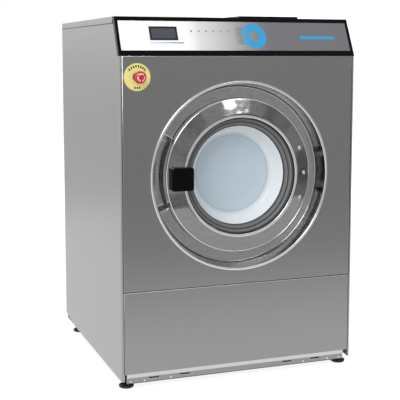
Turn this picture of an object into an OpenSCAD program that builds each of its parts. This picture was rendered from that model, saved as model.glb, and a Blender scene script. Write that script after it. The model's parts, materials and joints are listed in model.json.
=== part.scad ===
// Front-loading washer-extractor with a suspended tub.
// X runs across the machine, -Y is the front, Z is up from the floor.

/* [Cabinet] */
// Width over the side panels
body_w = 840; // [810:5:900]
// Depth from the front panels to the rear panel
body_d = 860; // [840:5:940]
// Height of the top panel above the floor
body_h = 1222; // [1202:5:1282]
// Thickness of the panel sheet
sheet_t = 1.5; // [1.2:0.1:2]
// Gap between neighbouring panels
panel_gap = 2; // [1:0.5:3]
// Height of the side panels' lower edge above the floor
skirt_z = 29; // [26:1:34]
// Height of the service panel's lower edge above the floor
service_z = 52; // [48:1:56]
// Distance from the surround's rim down to the seam between the two front panels
seam_gap = 47.5; // [40:0.5:55]
// Height of the top panel's folded skirt
lid_skirt = 22; // [16:1:30]
// Depth of the folded edges of the front panels
panel_fold = 17; // [12:1:18]

/* [Fascia] */
// Height of the sloping control fascia
fascia_h = 127; // [115:1:140]
// How far the top of the fascia leans back
fascia_lean = 62; // [50:1:70]
// Depth of the fascia frame, front to back
fascia_depth = 22; // [18:1:26]
// Width of the fascia frame's side bars
fascia_side = 10; // [8:1:16]
// Height of the fascia frame's lower bar
fascia_foot = 20; // [14:1:26]
// Height of the fascia frame's upper bar
fascia_head = 14; // [10:1:18]
// Size of the touch screen, across and up the slope
screen_size = [96, 50];
// Distance of the screen's left edge from the middle of the machine
screen_x = 309; // [290:1:320]

/* [Door] */
// Height of the door's and the drum's centre above the middle of the cabinet's height
door_rise = 83.5; // [76:0.5:90]
// Outer radius of the surround's rim
rim_r = 320; // [316:0.5:324]
// How far the surround's rim stands out in front of the front panel
rim_out = 8; // [3:0.5:9]
// Depth of the surround's floor behind the front panel
dish_depth = 48; // [46:1:54]
// Outer radius of the door ring
ring_r = 261; // [258:0.5:262]
// Radius of the bead round the window
bead_r = 200; // [196:0.5:204]
// Radius of the visible window
window_r = 168; // [160:0.5:172]
// Depth of the glass bowl behind the front panel
bowl_depth = 104; // [90:1:108]
// Wall of the glass bowl
glass_t = 7; // [5:0.5:8]
// Angle of the start and end of the hand scoop, seen from the front
scoop_angles = [152, 203];
// Width and height of the door handle
handle_size = [77, 77];

/* [Tub and drum] */
// Inner radius of the tub
tub_r = 350; // [345:0.5:352]
// Depth of the tub's front behind the front panel
tub_front_y = 105; // [104:0.5:112]
// Depth of the tub's rear wall behind the front panel
tub_back_y = 585; // [580:1:600]
// Gap between the drum and the tub
drum_gap = 25; // [22:0.5:40]
// Radius of the drum's mouth
mouth_r = 202; // [195:0.5:204]
// Radius of the drum pulley
pulley_r = 170; // [150:1:175]
// Vertical travel of the tub on its springs, each way
tub_travel = 8; // [4:1:10]
// Radius of the motor's casing
motor_r = 78; // [70:1:84]
// Radius of the motor's pulley
motor_pulley_r = 30; // [26:1:34]

/* [Fittings] */
// Radius of the emergency stop's legend plate
legend_r = 45; // [40:1:48]
// Radius of the mushroom button
mushroom_r = 20; // [18:0.5:22]
// Travel of the mushroom button
stop_travel = 5; // [3:0.5:6]
// Size of the dispenser lid, across and front to back
hatch_size = [219, 190];
// Outer radius of the drain pipe
drain_r = 38; // [36:0.5:40]
// Outer radius of the inlet threads
inlet_r = 13.2; // [12.8:0.1:13.4]
// Radius of the levelling feet
foot_r = 25; // [22:1:30]
// Height of a levelling foot's pad
foot_h = 12; // [10:1:14]

/* [Hidden] */
$fn = 72;

// Clearances
seat = 0.2;
loose = 0.3;
slip = 0.05;

// Outlets behind the rear panel and the button in front set where the origin lies
rear_out = 55;
front_out = 50;
front_y = -(body_d + rear_out - front_out) / 2;

// Points on an arc from angle a0 to a1
function arc(c, r, a0, a1, n = 8) =
    [for (i = [0 : n]) let (a = a0 + (a1 - a0) * i / n) [c.x + r * cos(a), c.y + r * sin(a)]];

function unit(v) = v / norm(v);

// Points that round the corner b between a and c with radius r
function corner(a, b, c, r, n) =
    let (u = unit(a - b), v = unit(c - b), half = acos(u * v) / 2,
         m = b + unit(u + v) * r / sin(half), s = b + u * r / tan(half) - m,
         e = b + v * r / tan(half) - m, a0 = atan2(s.y, s.x), turn = atan2(e.y, e.x) - a0,
         sweep = turn > 180 ? turn - 360 : turn < -180 ? turn + 360 : turn)
    arc(m, r, a0, a0 + sweep, n);

function xy(p) = [p.x, p.y];

// A path whose points may carry a corner radius as a third value
function soft_path(p, n = 3) =
    [for (i = [0 : len(p) - 1])
        each (i == 0 || i == len(p) - 1 || len(p[i]) < 3)
            ? [xy(p[i])]
            : corner(xy(p[i - 1]), xy(p[i]), xy(p[i + 1]), p[i].z, n)];

// The left-hand normal of a path's segment i
function path_normal(p, i) =
    let (k = max(0, min(len(p) - 2, i)), d = unit(p[k + 1] - p[k])) [-d.y, d.x];

// The outline of a sheet of thickness t that lies to the left of a path
function sheet_outline(p, t) =
    concat(p, [for (i = [len(p) - 1 : -1 : 0])
        let (a = path_normal(p, i - 1), b = path_normal(p, i)) p[i] + (a + b) * t / (1 + a * b)]);

// Turns a profile of [radius, depth behind the front panel] about the drum axis
module round_axis(angles = [0, 360])
    translate([0, front_y, door_z]) rotate([-90, 0, 0])
        rotate([0, 0, -angles[1]]) rotate_extrude(angle = angles[1] - angles[0]) children();

// A cylinder parallel to the drum axis, from depth y0 to depth y1
module y_cyl(x, z, r, y0, y1)
    translate([x, front_y + y0, z]) rotate([-90, 0, 0]) cylinder(r = r, h = y1 - y0);

// A box given by its low and high corners, with depths behind the front panel
module box(low, high)
    translate([low.x, front_y + low.y, low.z]) cube(high - low);

// A rectangle with rounded corners, centred
module round_rect(size, r)
    polygon([for (q = [0 : 3]) let (sx = (q == 0 || q == 3) ? 1 : -1, sz = q < 2 ? 1 : -1)
        each arc([sx * (size.x / 2 - r), sz * (size.y / 2 - r)], r, 90 * q, 90 * q + 90, 5)]);

// Both sides of the machine
module mirrored() for (s = [-1, 1]) scale([s, 1, 1]) children();

// Extrudes an outline drawn in [x, depth] from height z0 to z1
module plan(z0, z1) translate([0, front_y, z0]) linear_extrude(z1 - z0) children();

// Extrudes an outline drawn in [depth, z] from x0 to x1
module side_on(x0, x1)
    translate([x0, front_y, 0]) rotate([90, 0, 90]) linear_extrude(x1 - x0) children();

// Extrudes an outline drawn in [x, z] from depth y0 to depth y1
module front_on(y0, y1)
    translate([0, front_y + y1, 0]) rotate([90, 0, 0]) linear_extrude(y1 - y0) children();

// A tray of sheet that is open to the rear
module rear_open_tray(x, z0, z1, y0, depth) difference() {
    box([-x, y0, z0], [x, y0 + depth, z1]);
    box([-x + sheet_t, y0 + sheet_t, z0 + sheet_t], [x - sheet_t, y0 + depth + 1, z1 - sheet_t]);
}

// Cabinet levels and lines
door_z = body_h / 2 + door_rise;
seam_z = door_z - rim_r - seam_gap;
fascia_z = body_h - fascia_h;
lid_z = body_h - lid_skirt;
half_w = body_w / 2;
inner_x = half_w - sheet_t;
lid_y = fascia_lean + fascia_depth;

// The tub's skin: its half height at a distance x from the middle, and the levels above and below it
tub_t = 2;
tub_flange = 9;
tub_skin_r = tub_r + tub_t;
function tub_half(x) = sqrt(tub_skin_r * tub_skin_r - x * x);
function tub_top(x) = door_z + tub_half(x);
function tub_under(x) = door_z - tub_half(x);

// Levels and sizes of the frame
rail_h = 50;
rail_w = 50;
rail_t = 3;
rail_z = skirt_z + rail_h;
beam_z = body_h - 70;
beam_t = 4;
rail_y = [20, body_d - 20];
cross_w = 60;
post_w = 0.6723 * (inner_x - tub_r - tub_flange);
post_d = 40;
hang_x = half_w - 55;
hang_y = [200, 500];
damper_x = 300;

module channel(w, h, t) difference() {
    square([w, h]);
    translate([t, -1]) square([w - 2 * t, h - t + 1]);
}

// Feet stand under the side rails
foot_x = inner_x - 24;
foot_y = [40, body_d - 130];
stem_r = 6;

module base_frame() color("dimgray") difference() {
    union() {
        mirrored() translate([inner_x - rail_w, front_y + rail_y[1], skirt_z]) rotate([90, 0, 0])
            linear_extrude(rail_y[1] - rail_y[0]) channel(rail_w, rail_h, rail_t);
        for (y = [hang_y[0], hang_y[1], rail_y[1] - cross_w / 2])
            side_on(-inner_x + rail_w, inner_x - rail_w)
                translate([y - cross_w / 2, skirt_z]) channel(cross_w, rail_h, rail_t);
    }
    mirrored() for (y = foot_y)
        translate([foot_x, front_y + y, 0]) cylinder(r = stem_r + seat, h = rail_z + 1);
}

module levelling_feet() color("black") mirrored() for (y = foot_y)
    translate([foot_x, front_y + y, 0]) {
        rotate_extrude() polygon([[0, 0], [foot_r - 3, 0], [foot_r, 3], [foot_r, foot_h - 4],
            [foot_r - 8, foot_h], [stem_r, foot_h], [stem_r, rail_z + 14], [0, rail_z + 14]]);
        translate([0, 0, rail_z]) difference() {
            cylinder(r = 2 * stem_r - 1, h = 8, $fn = 6);
            translate([0, 0, -1]) cylinder(r = stem_r + seat / 2, h = 10);
        }
    }

plinth_x = half_w - 20;
plinth_y = 12;
plinth_z = 16;
plinth_step = 3;
plinth_step_z = 34;
plinth_foot = 18;
plinth_slots = [-306, -197, 182, 290];
plinth_slot_z = 29;
plinth_slot = [34, 7];
plinth_screws = [-386, -338, -247, 245, 340, 386];
plinth_screw_z = 24;

// A folded sheet whose lower band is set back
module plinth() color("silver") difference() {
    top = service_z - panel_gap;
    back = plinth_y + plinth_step;
    side_on(-plinth_x, plinth_x) polygon(sheet_outline([[rail_y[0], top], [plinth_y, top],
        [plinth_y, plinth_step_z + 2], [back, plinth_step_z], [back, plinth_z],
        [back + plinth_foot, plinth_z]], sheet_t));
    for (x = plinth_slots) front_on(back - 1, back + sheet_t + 1)
        translate([x * plinth_x / 400, plinth_slot_z]) square(plinth_slot, center = true);
    for (x = plinth_screws)
        y_cyl(x * plinth_x / 400, plinth_screw_z, 3.5, back - 1, back + sheet_t + 1);
}

module suspension_frame() color("dimgray") mirrored() {
    for (y = [lid_y, rail_y[1] - post_d])
        plan(rail_z, beam_z) translate([inner_x - post_w, y]) difference() {
            square([post_w, post_d]);
            translate([rail_t, rail_t]) square([post_w - 2 * rail_t, post_d - 2 * rail_t]);
        }
    difference() {
        union() {
            box([hang_x - 25, lid_y, beam_z], [inner_x, rail_y[1], beam_z + beam_t]);
            box([inner_x - beam_t, lid_y, beam_z], [inner_x, rail_y[1], beam_z + post_d]);
        }
        for (y = hang_y) translate([hang_x, front_y + y, beam_z - 1]) cylinder(r = eye_r + seat,
            h = beam_t + 2);
    }
}

// Outline of a side panel, cut along the back of the sloping fascia and at its lower rear corner
heel = [160, 16];
side_fold = 12;
module side_outline(top) {
    slope = fascia_lean / fascia_h;
    polygon([[0, skirt_z], [body_d - heel.x, skirt_z], [body_d, skirt_z + heel.y], [body_d, top],
        [fascia_depth + (top - fascia_z) * slope, top], [fascia_depth, fascia_z], [0, fascia_z]]);
}

module side_panel() {
    side_on(inner_x, half_w) side_outline(lid_z);
    box([inner_x - side_fold, body_d - sheet_t, skirt_z + heel.y], [inner_x, body_d, lid_z]);
}

module left_panel() color("silver") mirror([1, 0, 0]) side_panel();
module right_panel() color("silver") side_panel();

vent_x = -230;
vent_z = body_h - 60;
vent_r = 25;
inlet_x = [80, 160];
gland_x = half_w - 120;
gland_z = body_h - 90;
gland_r = 14;
cable_r = 8;
pipe_step = 1.5;
pipe_collar = 3;
valve_x = -90;
valve_y = 500;
drain_z = rail_z + 56;

module rear_panel() color("silver") difference() {
    translate([0, 2 * front_y + body_d, 0]) mirror([0, 1, 0])
        rear_open_tray(inner_x - side_fold - panel_gap / 2, service_z, lid_z - panel_gap, 0, panel_fold);
    y_cyl(valve_x, drain_z, drain_r + pipe_step + 0.5, body_d - 3, body_d + 1);
    y_cyl(vent_x, vent_z, vent_r + pipe_step + 0.5, body_d - 3, body_d + 1);
    for (x = inlet_x) y_cyl(x, inlet_z, inlet_r + 1.5, body_d - 3, body_d + 1);
    y_cyl(gland_x, gland_z, gland_r + 0.5, body_d - 3, body_d + 1);
}

// The dispenser hatch lies on the top panel, right of the middle
hatch_x = 135.5;
hatch_y = 86;
hopper_size = hatch_size - [18, 16];
hopper_x = hatch_x;
hopper_y = hatch_y + hatch_size.y / 2;
hopper_wall = 3;
hopper_depth = 0.6479 * (body_h - door_z - tub_r);
hopper_z = body_h - hopper_depth;
inlet_z = body_h - 0.7826 * hopper_depth;
flange_t = 3;
hatch_h = 7;
hatch_hinge_y = hatch_y + hatch_size.y;
knuckle_r = 3;
ear_r = 3;
hinge_tab_t = 1.5;
hatch_hinge_z = body_h + hinge_tab_t + knuckle_r + loose;
hatch_hinge_x = [-70, 70];
hatch_pin_r = 1.5;
knuckle_w = 20;
ear_w = 5;

module top_panel() color("silver") difference() {
    box([-half_w, lid_y, lid_z], [half_w, body_d, body_h]);
    box([-half_w + sheet_t, lid_y + sheet_t, lid_z - 1],
        [half_w - sheet_t, body_d - sheet_t, body_h - sheet_t]);
    translate([hopper_x, front_y + hopper_y, body_h - 5])
        linear_extrude(10) square([hopper_size.x - 8, hopper_size.y - 8] + [2, 2] * seat, center = true);
}

stop_x = half_w - 58.5;
stop_z = fascia_z - 67;
stop_hole_r = 11.2;
hole_r = rim_r - 6;

module front_panel() color("gray") difference() {
    rear_open_tray(inner_x - seat, seam_z + panel_gap / 2, fascia_z - seat, 0, panel_fold);
    y_cyl(0, door_z, hole_r, -1, sheet_t + 1);
    y_cyl(-stop_x, stop_z, stop_hole_r, -1, sheet_t + 1);
}

module service_panel() color("darkgray")
    rear_open_tray(inner_x - seat, service_z, seam_z - panel_gap / 2, 0, panel_fold);

// The surround: rim, steep wall, floor and neck, as one path of [radius, depth]
wall_r = rim_r - 20;
neck_r = 208;
neck_y = dish_depth + 28;
scoop_depth = dish_depth + 26;
scoop_r = [ring_r + 3, wall_r - 3];

rim_w = 9;
rim_path = [[rim_r, 0], [rim_r, -rim_out, 3.5], [rim_r - rim_w, -rim_out, 3.5]];
neck_path = [[neck_r, dish_depth, 6], [neck_r, neck_y]];
dish_path = concat(rim_path, [[wall_r, dish_depth, 8]], neck_path);
scoop_path = concat(rim_path, [[scoop_r[1], scoop_depth, 8], [scoop_r[0], scoop_depth, 8],
    [scoop_r[0] - 2, dish_depth, 3]], neck_path);

// One end wall of the hand scoop, a thin slice of its section
module scoop_end(a) round_axis([a - 0.3, a + 0.3]) difference() {
    polygon(concat(soft_path(scoop_path), [[neck_r, dish_depth - 1], [rim_r - 12, dish_depth - 1],
        [rim_r - 8, 0]]));
    translate([neck_r - 5, -2 * rim_out]) square([rim_r - neck_r + 10, dish_depth + 2 * rim_out]);
    translate([neck_r - 5, 0]) square([scoop_r[0] - neck_r + 1, 200]);
}

hinge_x = 248;
hinge_depth = 28.5;
hinge_pin_r = 4;
lug_z = [34, 46];
lug_w = 10;
lug_shift = 1.5;
hook_x = -237;
hook_depth = 28;
slot_x = [-253, -219];
slot_z = 9;

module hinge_lug_slots(extra) for (s = [-1, 1])
    box([hinge_x - lug_w / 2 - lug_shift - extra, 0, door_z + s * (lug_z[0] + lug_z[1])
        / 2 - (lug_z[1] - lug_z[0]) / 2 - extra],
        [hinge_x + lug_w / 2 - lug_shift + extra, dish_depth + 20,
         door_z + s * (lug_z[0] + lug_z[1]) / 2 + (lug_z[1] - lug_z[0]) / 2 + extra]);

module door_surround() color("lightgray") difference() {
    union() {
        round_axis([scoop_angles[1] - 360, scoop_angles[0]])
            polygon(sheet_outline(soft_path(dish_path), -sheet_t));
        round_axis(scoop_angles) polygon(sheet_outline(soft_path(scoop_path), -sheet_t));
        for (a = scoop_angles) scoop_end(a);
    }
    hinge_lug_slots(seat);
    box([slot_x[0], dish_depth - 5, door_z - slot_z], [slot_x[1], dish_depth + 8, door_z + slot_z]);
}

// Draws on the sloping fascia: x across, y up the slope, z out of the face
fascia_tilt = atan2(fascia_lean, fascia_h);
fascia_len = norm([fascia_lean, fascia_h]);
module on_fascia() translate([0, front_y, fascia_z]) rotate([90 - fascia_tilt, 0, 0]) children();

plate_t = 2;
plate_sink = 1.5;
frame_face = 5;

module fascia_window(inset, z0, z1) on_fascia() translate([0, 0, z0]) linear_extrude(z1 - z0)
    translate([-half_w + fascia_side + inset, fascia_foot + inset])
        square([body_w - 2 * (fascia_side + inset), fascia_len - fascia_foot - fascia_head - 2 * inset]);

module fascia_frame() color("black") difference() {
    side_on(-half_w, half_w) polygon([[0, fascia_z], [fascia_depth, fascia_z],
        [fascia_lean + fascia_depth, body_h], [fascia_lean, body_h]]);
    fascia_window(0, -plate_sink - plate_t, 1);
    fascia_window(6, -frame_face * 2, 1);
    on_fascia() translate([-half_w + 6, 6, -40]) cube([body_w - 12, fascia_len - 14, 40 - frame_face]);
}

screen_u = 57;
module screen_area(extra, z0, z1) on_fascia()
    translate([-screen_x - extra, screen_u - extra, z0])
        cube([screen_size.x + 2 * extra, screen_size.y + 2 * extra, z1 - z0]);

module fascia_plate() color("gainsboro") difference() {
    fascia_window(seat, -plate_sink - plate_t, -plate_sink);
    screen_area(-4, -20, 5);
}

module display_screen() color("darkslategray") {
    screen_area(0, -plate_sink, -plate_sink + 1);
    screen_area(-4 - seat, -plate_sink - plate_t - 8, -plate_sink);
}

// Emergency stop
stop_bore_r = 7;
collar_y = -12;
button_back = collar_y - stop_travel - 7.3;

module stop_turn() translate([-stop_x, front_y, stop_z]) rotate([-90, 0, 0]) rotate_extrude() children();

module estop_legend_plate() color("khaki")
    stop_turn() polygon([[stop_hole_r, -sheet_t], [legend_r - 0.5, -sheet_t], [legend_r, -1], [legend_r,
        0], [stop_hole_r, 0]]);

module estop_collar() color("dimgray") difference() {
    union() {
        stop_turn() polygon([[0, collar_y], [13, collar_y], [15, collar_y + 2], [15, -sheet_t],
            [stop_hole_r - seat, -sheet_t],
            [stop_hole_r - seat, sheet_t], [14, sheet_t], [14, 6], [0, 6]]);
        box([-stop_x - 15, 6, stop_z - 22], [-stop_x + 15, 52, stop_z + 22]);
    }
    y_cyl(-stop_x, stop_z, stop_bore_r, -13, 26);
}

module estop_plunger() color("darkgray")
    stop_turn() polygon([[0, -36], [4, -36], [4, -24], [stop_bore_r - slip, -24], [stop_bore_r - slip,
        15], [0, 15]]);

module estop_button() color("red") stop_turn() polygon(concat([[4 + slip, button_back], [12, button_back],
    [12, -30]],
    [[mushroom_r - 3, -31], [mushroom_r, -34], [mushroom_r, -38]],
    arc([0, -front_out + 32], 32, -90 + asin((mushroom_r - 2) / 32), -90, 5), [[0, -36.3], [4 + slip,
        -36.3]]));

// Detergent dispenser: a hopper with three compartments, hung in the top panel by its flange
comp_x = [0.3, 0.62];
outlet_r = 22;

// The hopper's hinge ears and their pin, behind the lid
module hopper_hinge(x) translate([x, front_y, 0]) {
    half = knuckle_w / 2 + loose + ear_w;
    translate([-half, hopper_y + hopper_size.y / 2 - 1, body_h])
        cube([2 * half, hatch_hinge_y + ear_r - hopper_y - hopper_size.y / 2 + 1, hinge_tab_t]);
    for (s = [-1, 1]) translate([s * (knuckle_w / 2 + loose + ear_w / 2), hatch_hinge_y, 0]) {
        translate([-ear_w / 2, -ear_r, body_h]) cube([ear_w, 2 * ear_r, hatch_hinge_z - body_h]);
        translate([-ear_w / 2, 0, hatch_hinge_z]) rotate([0, 90, 0]) cylinder(r = ear_r, h = ear_w);
    }
    translate([-half, hatch_hinge_y, hatch_hinge_z]) rotate([0, 90, 0]) cylinder(r = hatch_pin_r,
        h = 2 * half);
}

module dispenser_hopper() color("whitesmoke") {
    inner = hopper_size - [8, 8];
    for (x = hatch_hinge_x) hopper_hinge(hatch_x + x);
    translate([hopper_x, front_y + hopper_y, 0]) difference() {
        union() {
            translate([0, 0, body_h]) linear_extrude(flange_t) square(hopper_size, center = true);
            translate([0, 0, hopper_z]) linear_extrude(hopper_depth) square(inner, center = true);
            translate([0, 0, hopper_z - 12]) cylinder(r = outlet_r, h = 13);
            for (x = inlet_x) translate([x - hopper_x, inner.y / 2 - 1, inlet_z]) rotate([-90, 0, 0])
                cylinder(r = hose_r, h = 15);
        }
        for (k = [0 : 2]) {
            x0 = -inner.x / 2 + (k == 0 ? hopper_wall : inner.x * comp_x[k - 1] + hopper_wall / 2);
            x1 = -inner.x / 2 + (k == 2 ? inner.x - hopper_wall : inner.x * comp_x[k] - hopper_wall / 2);
            translate([x0, -inner.y / 2 + hopper_wall, hopper_z + hopper_wall])
                cube([x1 - x0, inner.y - 2 * hopper_wall, hopper_depth + 10]);
        }
        translate([0, 0, hopper_z - 13]) cylinder(r = outlet_r - hopper_wall, h = 20);
    }
}

// The lid: a shallow tray upside down, cut out behind for two knuckles on the hopper's pins
knuckle_cut = 8;
knuckle_arm = 10;
module dispenser_lid() color("black") difference() {
    union() {
        difference() {
            translate([hatch_x, front_y + hopper_y, body_h + loose])
                linear_extrude(hatch_h - loose) round_rect(hatch_size, 6);
            translate([hatch_x, front_y + hopper_y, body_h - 1])
                linear_extrude(flange_t + 2) round_rect(hatch_size - [5, 5], 4);
            for (x = hatch_hinge_x)
                box([hatch_x + x - knuckle_w / 2 - knuckle_cut, hatch_hinge_y - knuckle_arm, body_h - 1],
                    [hatch_x + x + knuckle_w / 2 + knuckle_cut, hatch_hinge_y + 1, body_h + hatch_h + 1]);
        }
        for (x = hatch_hinge_x) {
            translate([hatch_x + x - knuckle_w / 2, front_y + hatch_hinge_y, hatch_hinge_z])
                rotate([0, 90, 0]) cylinder(r = knuckle_r, h = knuckle_w);
            box([hatch_x + x - knuckle_w / 2, hatch_hinge_y - knuckle_arm - 1, hatch_hinge_z],
                [hatch_x + x + knuckle_w / 2, hatch_hinge_y, body_h + hatch_h]);
        }
    }
    for (x = hatch_hinge_x) translate([hatch_x + x - knuckle_w, front_y + hatch_hinge_y, hatch_hinge_z])
        rotate([0, 90, 0]) cylinder(r = hatch_pin_r + slip, h = 2 * knuckle_w);
}

// Door hinge: two lugs come through the surround's floor into the door ring's rim
lug_r = 8;
module door_hinge_bracket() color("gray") difference() {
    union() {
        box([hinge_x - 26, dish_depth + sheet_t, door_z - 62], [hinge_x + 22, dish_depth + sheet_t + 5,
            door_z + 62]);
        for (s = [-1, 1]) {
            zc = door_z + s * (lug_z[0] + lug_z[1]) / 2;
            hz = (lug_z[1] - lug_z[0]) / 2;
            box([hinge_x - lug_w / 2 - lug_shift, hinge_depth, zc - hz],
                [hinge_x + lug_w / 2 - lug_shift, dish_depth + sheet_t + 1, zc + hz]);
            translate([hinge_x, front_y + hinge_depth, zc - hz]) cylinder(r = lug_r, h = 2 * hz);
        }
    }
    translate([hinge_x, front_y + hinge_depth, door_z - 80]) cylinder(r = hinge_pin_r, h = 160);
}

module door_hinge_pin() color("silver") translate([hinge_x, front_y + hinge_depth, door_z - lug_z[1] - 3]) {
    cylinder(r = hinge_pin_r, h = 2 * lug_z[1] + 3);
    cylinder(r = hinge_pin_r + 2, h = 3);
}

hook_end = dish_depth + 22;
lock_back = neck_y;
lock_h = 30;
module door_lock() color("dimgray") difference() {
    box([slot_x[0] - 3, dish_depth + sheet_t, door_z - lock_h], [slot_x[1] + 1.5, lock_back,
        door_z + lock_h]);
    box([slot_x[0], dish_depth - 1, door_z - slot_z], [slot_x[1], lock_back - 3, door_z + slot_z]);
}

// Water inlets, with a valve body inside and a threaded spigot outside
hose_r = 9;
tail_r = 6;
module inlet_valves() color("white") for (x = inlet_x) {
    y_cyl(x, inlet_z, inlet_r, body_d, body_d + 18);
    y_cyl(x, inlet_z, inlet_r + 1.3, body_d - sheet_t, body_d);
    box([x - 20, body_d - 62, inlet_z - 18], [x + 20, body_d - sheet_t, inlet_z + 18]);
    translate([x, front_y + body_d - 35, inlet_z + 18]) cylinder(r = 13, h = 22);
    y_cyl(x, inlet_z, tail_r, body_d - 76, body_d - 62);
}

hopper_back = hopper_y + hopper_size.y / 2 - 4;
module fill_hoses() color("black") for (x = inlet_x) difference() {
    y_cyl(x, inlet_z, hose_r + 3, hopper_back + 14 + loose, body_d - 62);
    y_cyl(x, inlet_z, hose_r, hopper_back + 10, body_d - 70);
    y_cyl(x, inlet_z, tail_r + slip, body_d - 80, body_d - 60);
}

// Drain valve on the middle cross rail, with its pipe through the rear panel
spigot_r = 30;
cuff = 14;
sump_z = door_z - tub_r - 60;
drain_top = drain_z + drain_r;
valve_top = drain_top + cuff + 2 + 0.342 * (sump_z - drain_top);
pipe_end = body_d + pipe_collar;

module drain_valve() color("white") difference() {
    union() {
        translate([valve_x, front_y + valve_y, rail_z]) cylinder(r = 46, h = valve_top - 35 - rail_z);
        translate([valve_x, front_y + valve_y, valve_top - 36]) cylinder(r = spigot_r, h = 36);
        y_cyl(valve_x, drain_z, drain_r - pipe_step, valve_y, pipe_end);
        y_cyl(valve_x, drain_z, drain_r + pipe_step, body_d - 10, pipe_end);
        y_cyl(valve_x, drain_z, drain_r, pipe_end - 1, body_d + rear_out);
        y_cyl(valve_x, drain_z, drain_r + 6, valve_y + 60, valve_y + 68);
        box([valve_x - 82, valve_y - 24, drain_z - 24], [valve_x - 40, valve_y + 24, drain_z + 24]);
    }
    y_cyl(valve_x, drain_z, drain_r - pipe_step - 2.5, valve_y + 30, body_d + rear_out + 1);
    translate([valve_x, front_y + valve_y, drain_z + 10]) cylinder(r = spigot_r - 3, h = 200);
}

// Vent: an elbow above the tub that runs back through the rear panel
vent_y = 420;
bend_r = 45;
vent_mouth = vent_z - bend_r - 30;
vent_wall = 2;
duct_r = vent_r - pipe_step;
vent_end = body_d + 35;
module vent_outlet() color("dimgray") {
    translate([vent_x, front_y + vent_y, vent_mouth]) difference() {
        cylinder(r = duct_r, h = vent_z - bend_r - vent_mouth);
        translate([0, 0, -1]) cylinder(r = duct_r - vent_wall, h = vent_z - bend_r - vent_mouth + 2);
    }
    translate([vent_x, front_y + vent_y + bend_r, vent_z - bend_r]) rotate([90, 0, -90])
        rotate_extrude(angle = 90) translate([bend_r, 0]) difference() {
            circle(r = duct_r);
            circle(r = duct_r - vent_wall);
        }
    translate([vent_x, front_y, vent_z]) rotate([-90, 0, 0]) rotate_extrude()
        polygon([[duct_r - vent_wall, vent_y + bend_r], [duct_r, vent_y + bend_r],
            [duct_r, body_d - sheet_t - 4], [vent_r + 6, body_d - sheet_t - 4], [vent_r + 6,
                body_d - sheet_t],
            [vent_r + pipe_step, body_d - sheet_t], [vent_r + pipe_step, pipe_end], [vent_r, pipe_end],
            [vent_r, vent_end], [duct_r - vent_wall, vent_end]]);
}

module cable_gland() color("black") difference() {
    union() {
        y_cyl(gland_x, gland_z, gland_r, body_d - 14, body_d + 4);
        y_cyl(gland_x, gland_z, gland_r + 5, body_d, body_d + 6);
        translate([gland_x, front_y + body_d + 6, gland_z]) rotate([-90, 0, 0]) cylinder(r1 = gland_r + 3,
            r2 = 11, h = 16);
        y_cyl(gland_x, gland_z, gland_r + 5, body_d - sheet_t - 6, body_d - sheet_t);
    }
    y_cyl(gland_x, gland_z, cable_r, body_d - 20, body_d + 30);
}

drive_w = 161.5;
drive_h = 228;
drive_gap = 12;
drive_y = [hang_y[0] + 50, hang_y[1] - 50];
fins = 10;
fin_t = 4;
fin_pitch = (drive_y[1] - drive_y[0]) / fins;
module drive_box() color("silver") translate([-inner_x + drive_gap, front_y, rail_z]) {
    translate([0, drive_y[0], 0]) cube([drive_w, drive_y[1] - drive_y[0], drive_h]);
    for (k = [0 : fins - 1]) translate([drive_w, drive_y[0] + (k + 0.5) * fin_pitch, 20])
        cube([12, fin_t, drive_h - 40]);
}

// Dampers stand on the cross rails; their rods hang from the tub's lower brackets
lower_ear_z = tub_under(damper_x - 36);
damper_top = rail_z + 0.592 * (lower_ear_z - rail_z);
damper_r = 24;
rod_r = 8;
piston_z = (rail_z + damper_top) / 2 + 9;
module damper_turn() for (s = [-1, 1], y = hang_y)
    translate([s * damper_x, front_y + y, 0]) rotate_extrude() children();

module damper_cylinders() color("dimgray") damper_turn() polygon([[0, rail_z], [damper_r - 6, rail_z],
    [damper_r, rail_z + 8], [damper_r, damper_top - 3], [damper_r - 3, damper_top], [rod_r + 2 * loose,
        damper_top],
    [rod_r + 2 * loose, damper_top - 14], [damper_r - 3, damper_top - 14], [damper_r - 3, rail_z + 20],
        [0, rail_z + 20]]);

module damper_rods() color("silver") damper_turn() polygon([[0, piston_z], [damper_r - 3 - 2 * loose,
    piston_z],
    [damper_r - 3 - 2 * loose, piston_z + 20], [rod_r, piston_z + 20], [rod_r, lower_ear_z - 20], [16,
        lower_ear_z - 20],
    [16, lower_ear_z], [5, lower_ear_z], [5, lower_ear_z + 22], [0, lower_ear_z + 22]]);

module screw_head(x, z, y, r) translate([x, front_y + y, z]) rotate([90, 0, 0])
    rotate_extrude() polygon([[0, 0], [r, 0], [r - 0.6, 1.4], [r - 2.4, 2.6], [0, 3]]);

module cabinet_screws() color("gray") {
    for (x = plinth_screws)
        screw_head(x * plinth_x / 400, plinth_screw_z, plinth_y + plinth_step, 5);
    translate([0, 2 * (front_y + body_d), 0]) mirror([0, 1, 0]) for (s = [-1, 1], k = [0 : 4])
        screw_head(s * (inner_x - 26), service_z + 30 + k * (lid_z - service_z - 80) / 4, body_d, 6);
}

// Suspension springs with a plug and an eye bolt at each end
spring_r = 18;
wire_r = 3;
turns = 8;
eye_r = 5;
upper_ear_z = tub_top(hang_x - 61);
coil_z = [upper_ear_z + 46, beam_z - 40];

function coil_ring(k, sides, steps) =
    let (a = 360 * k / steps, z = coil_z[0] + (coil_z[1] - coil_z[0]) * k / (turns * steps))
    [for (j = [0 : sides - 1]) let (b = 360 * j / sides, r = spring_r + wire_r * cos(b))
        [r * cos(a), r * sin(a), z + wire_r * sin(b)]];

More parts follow.
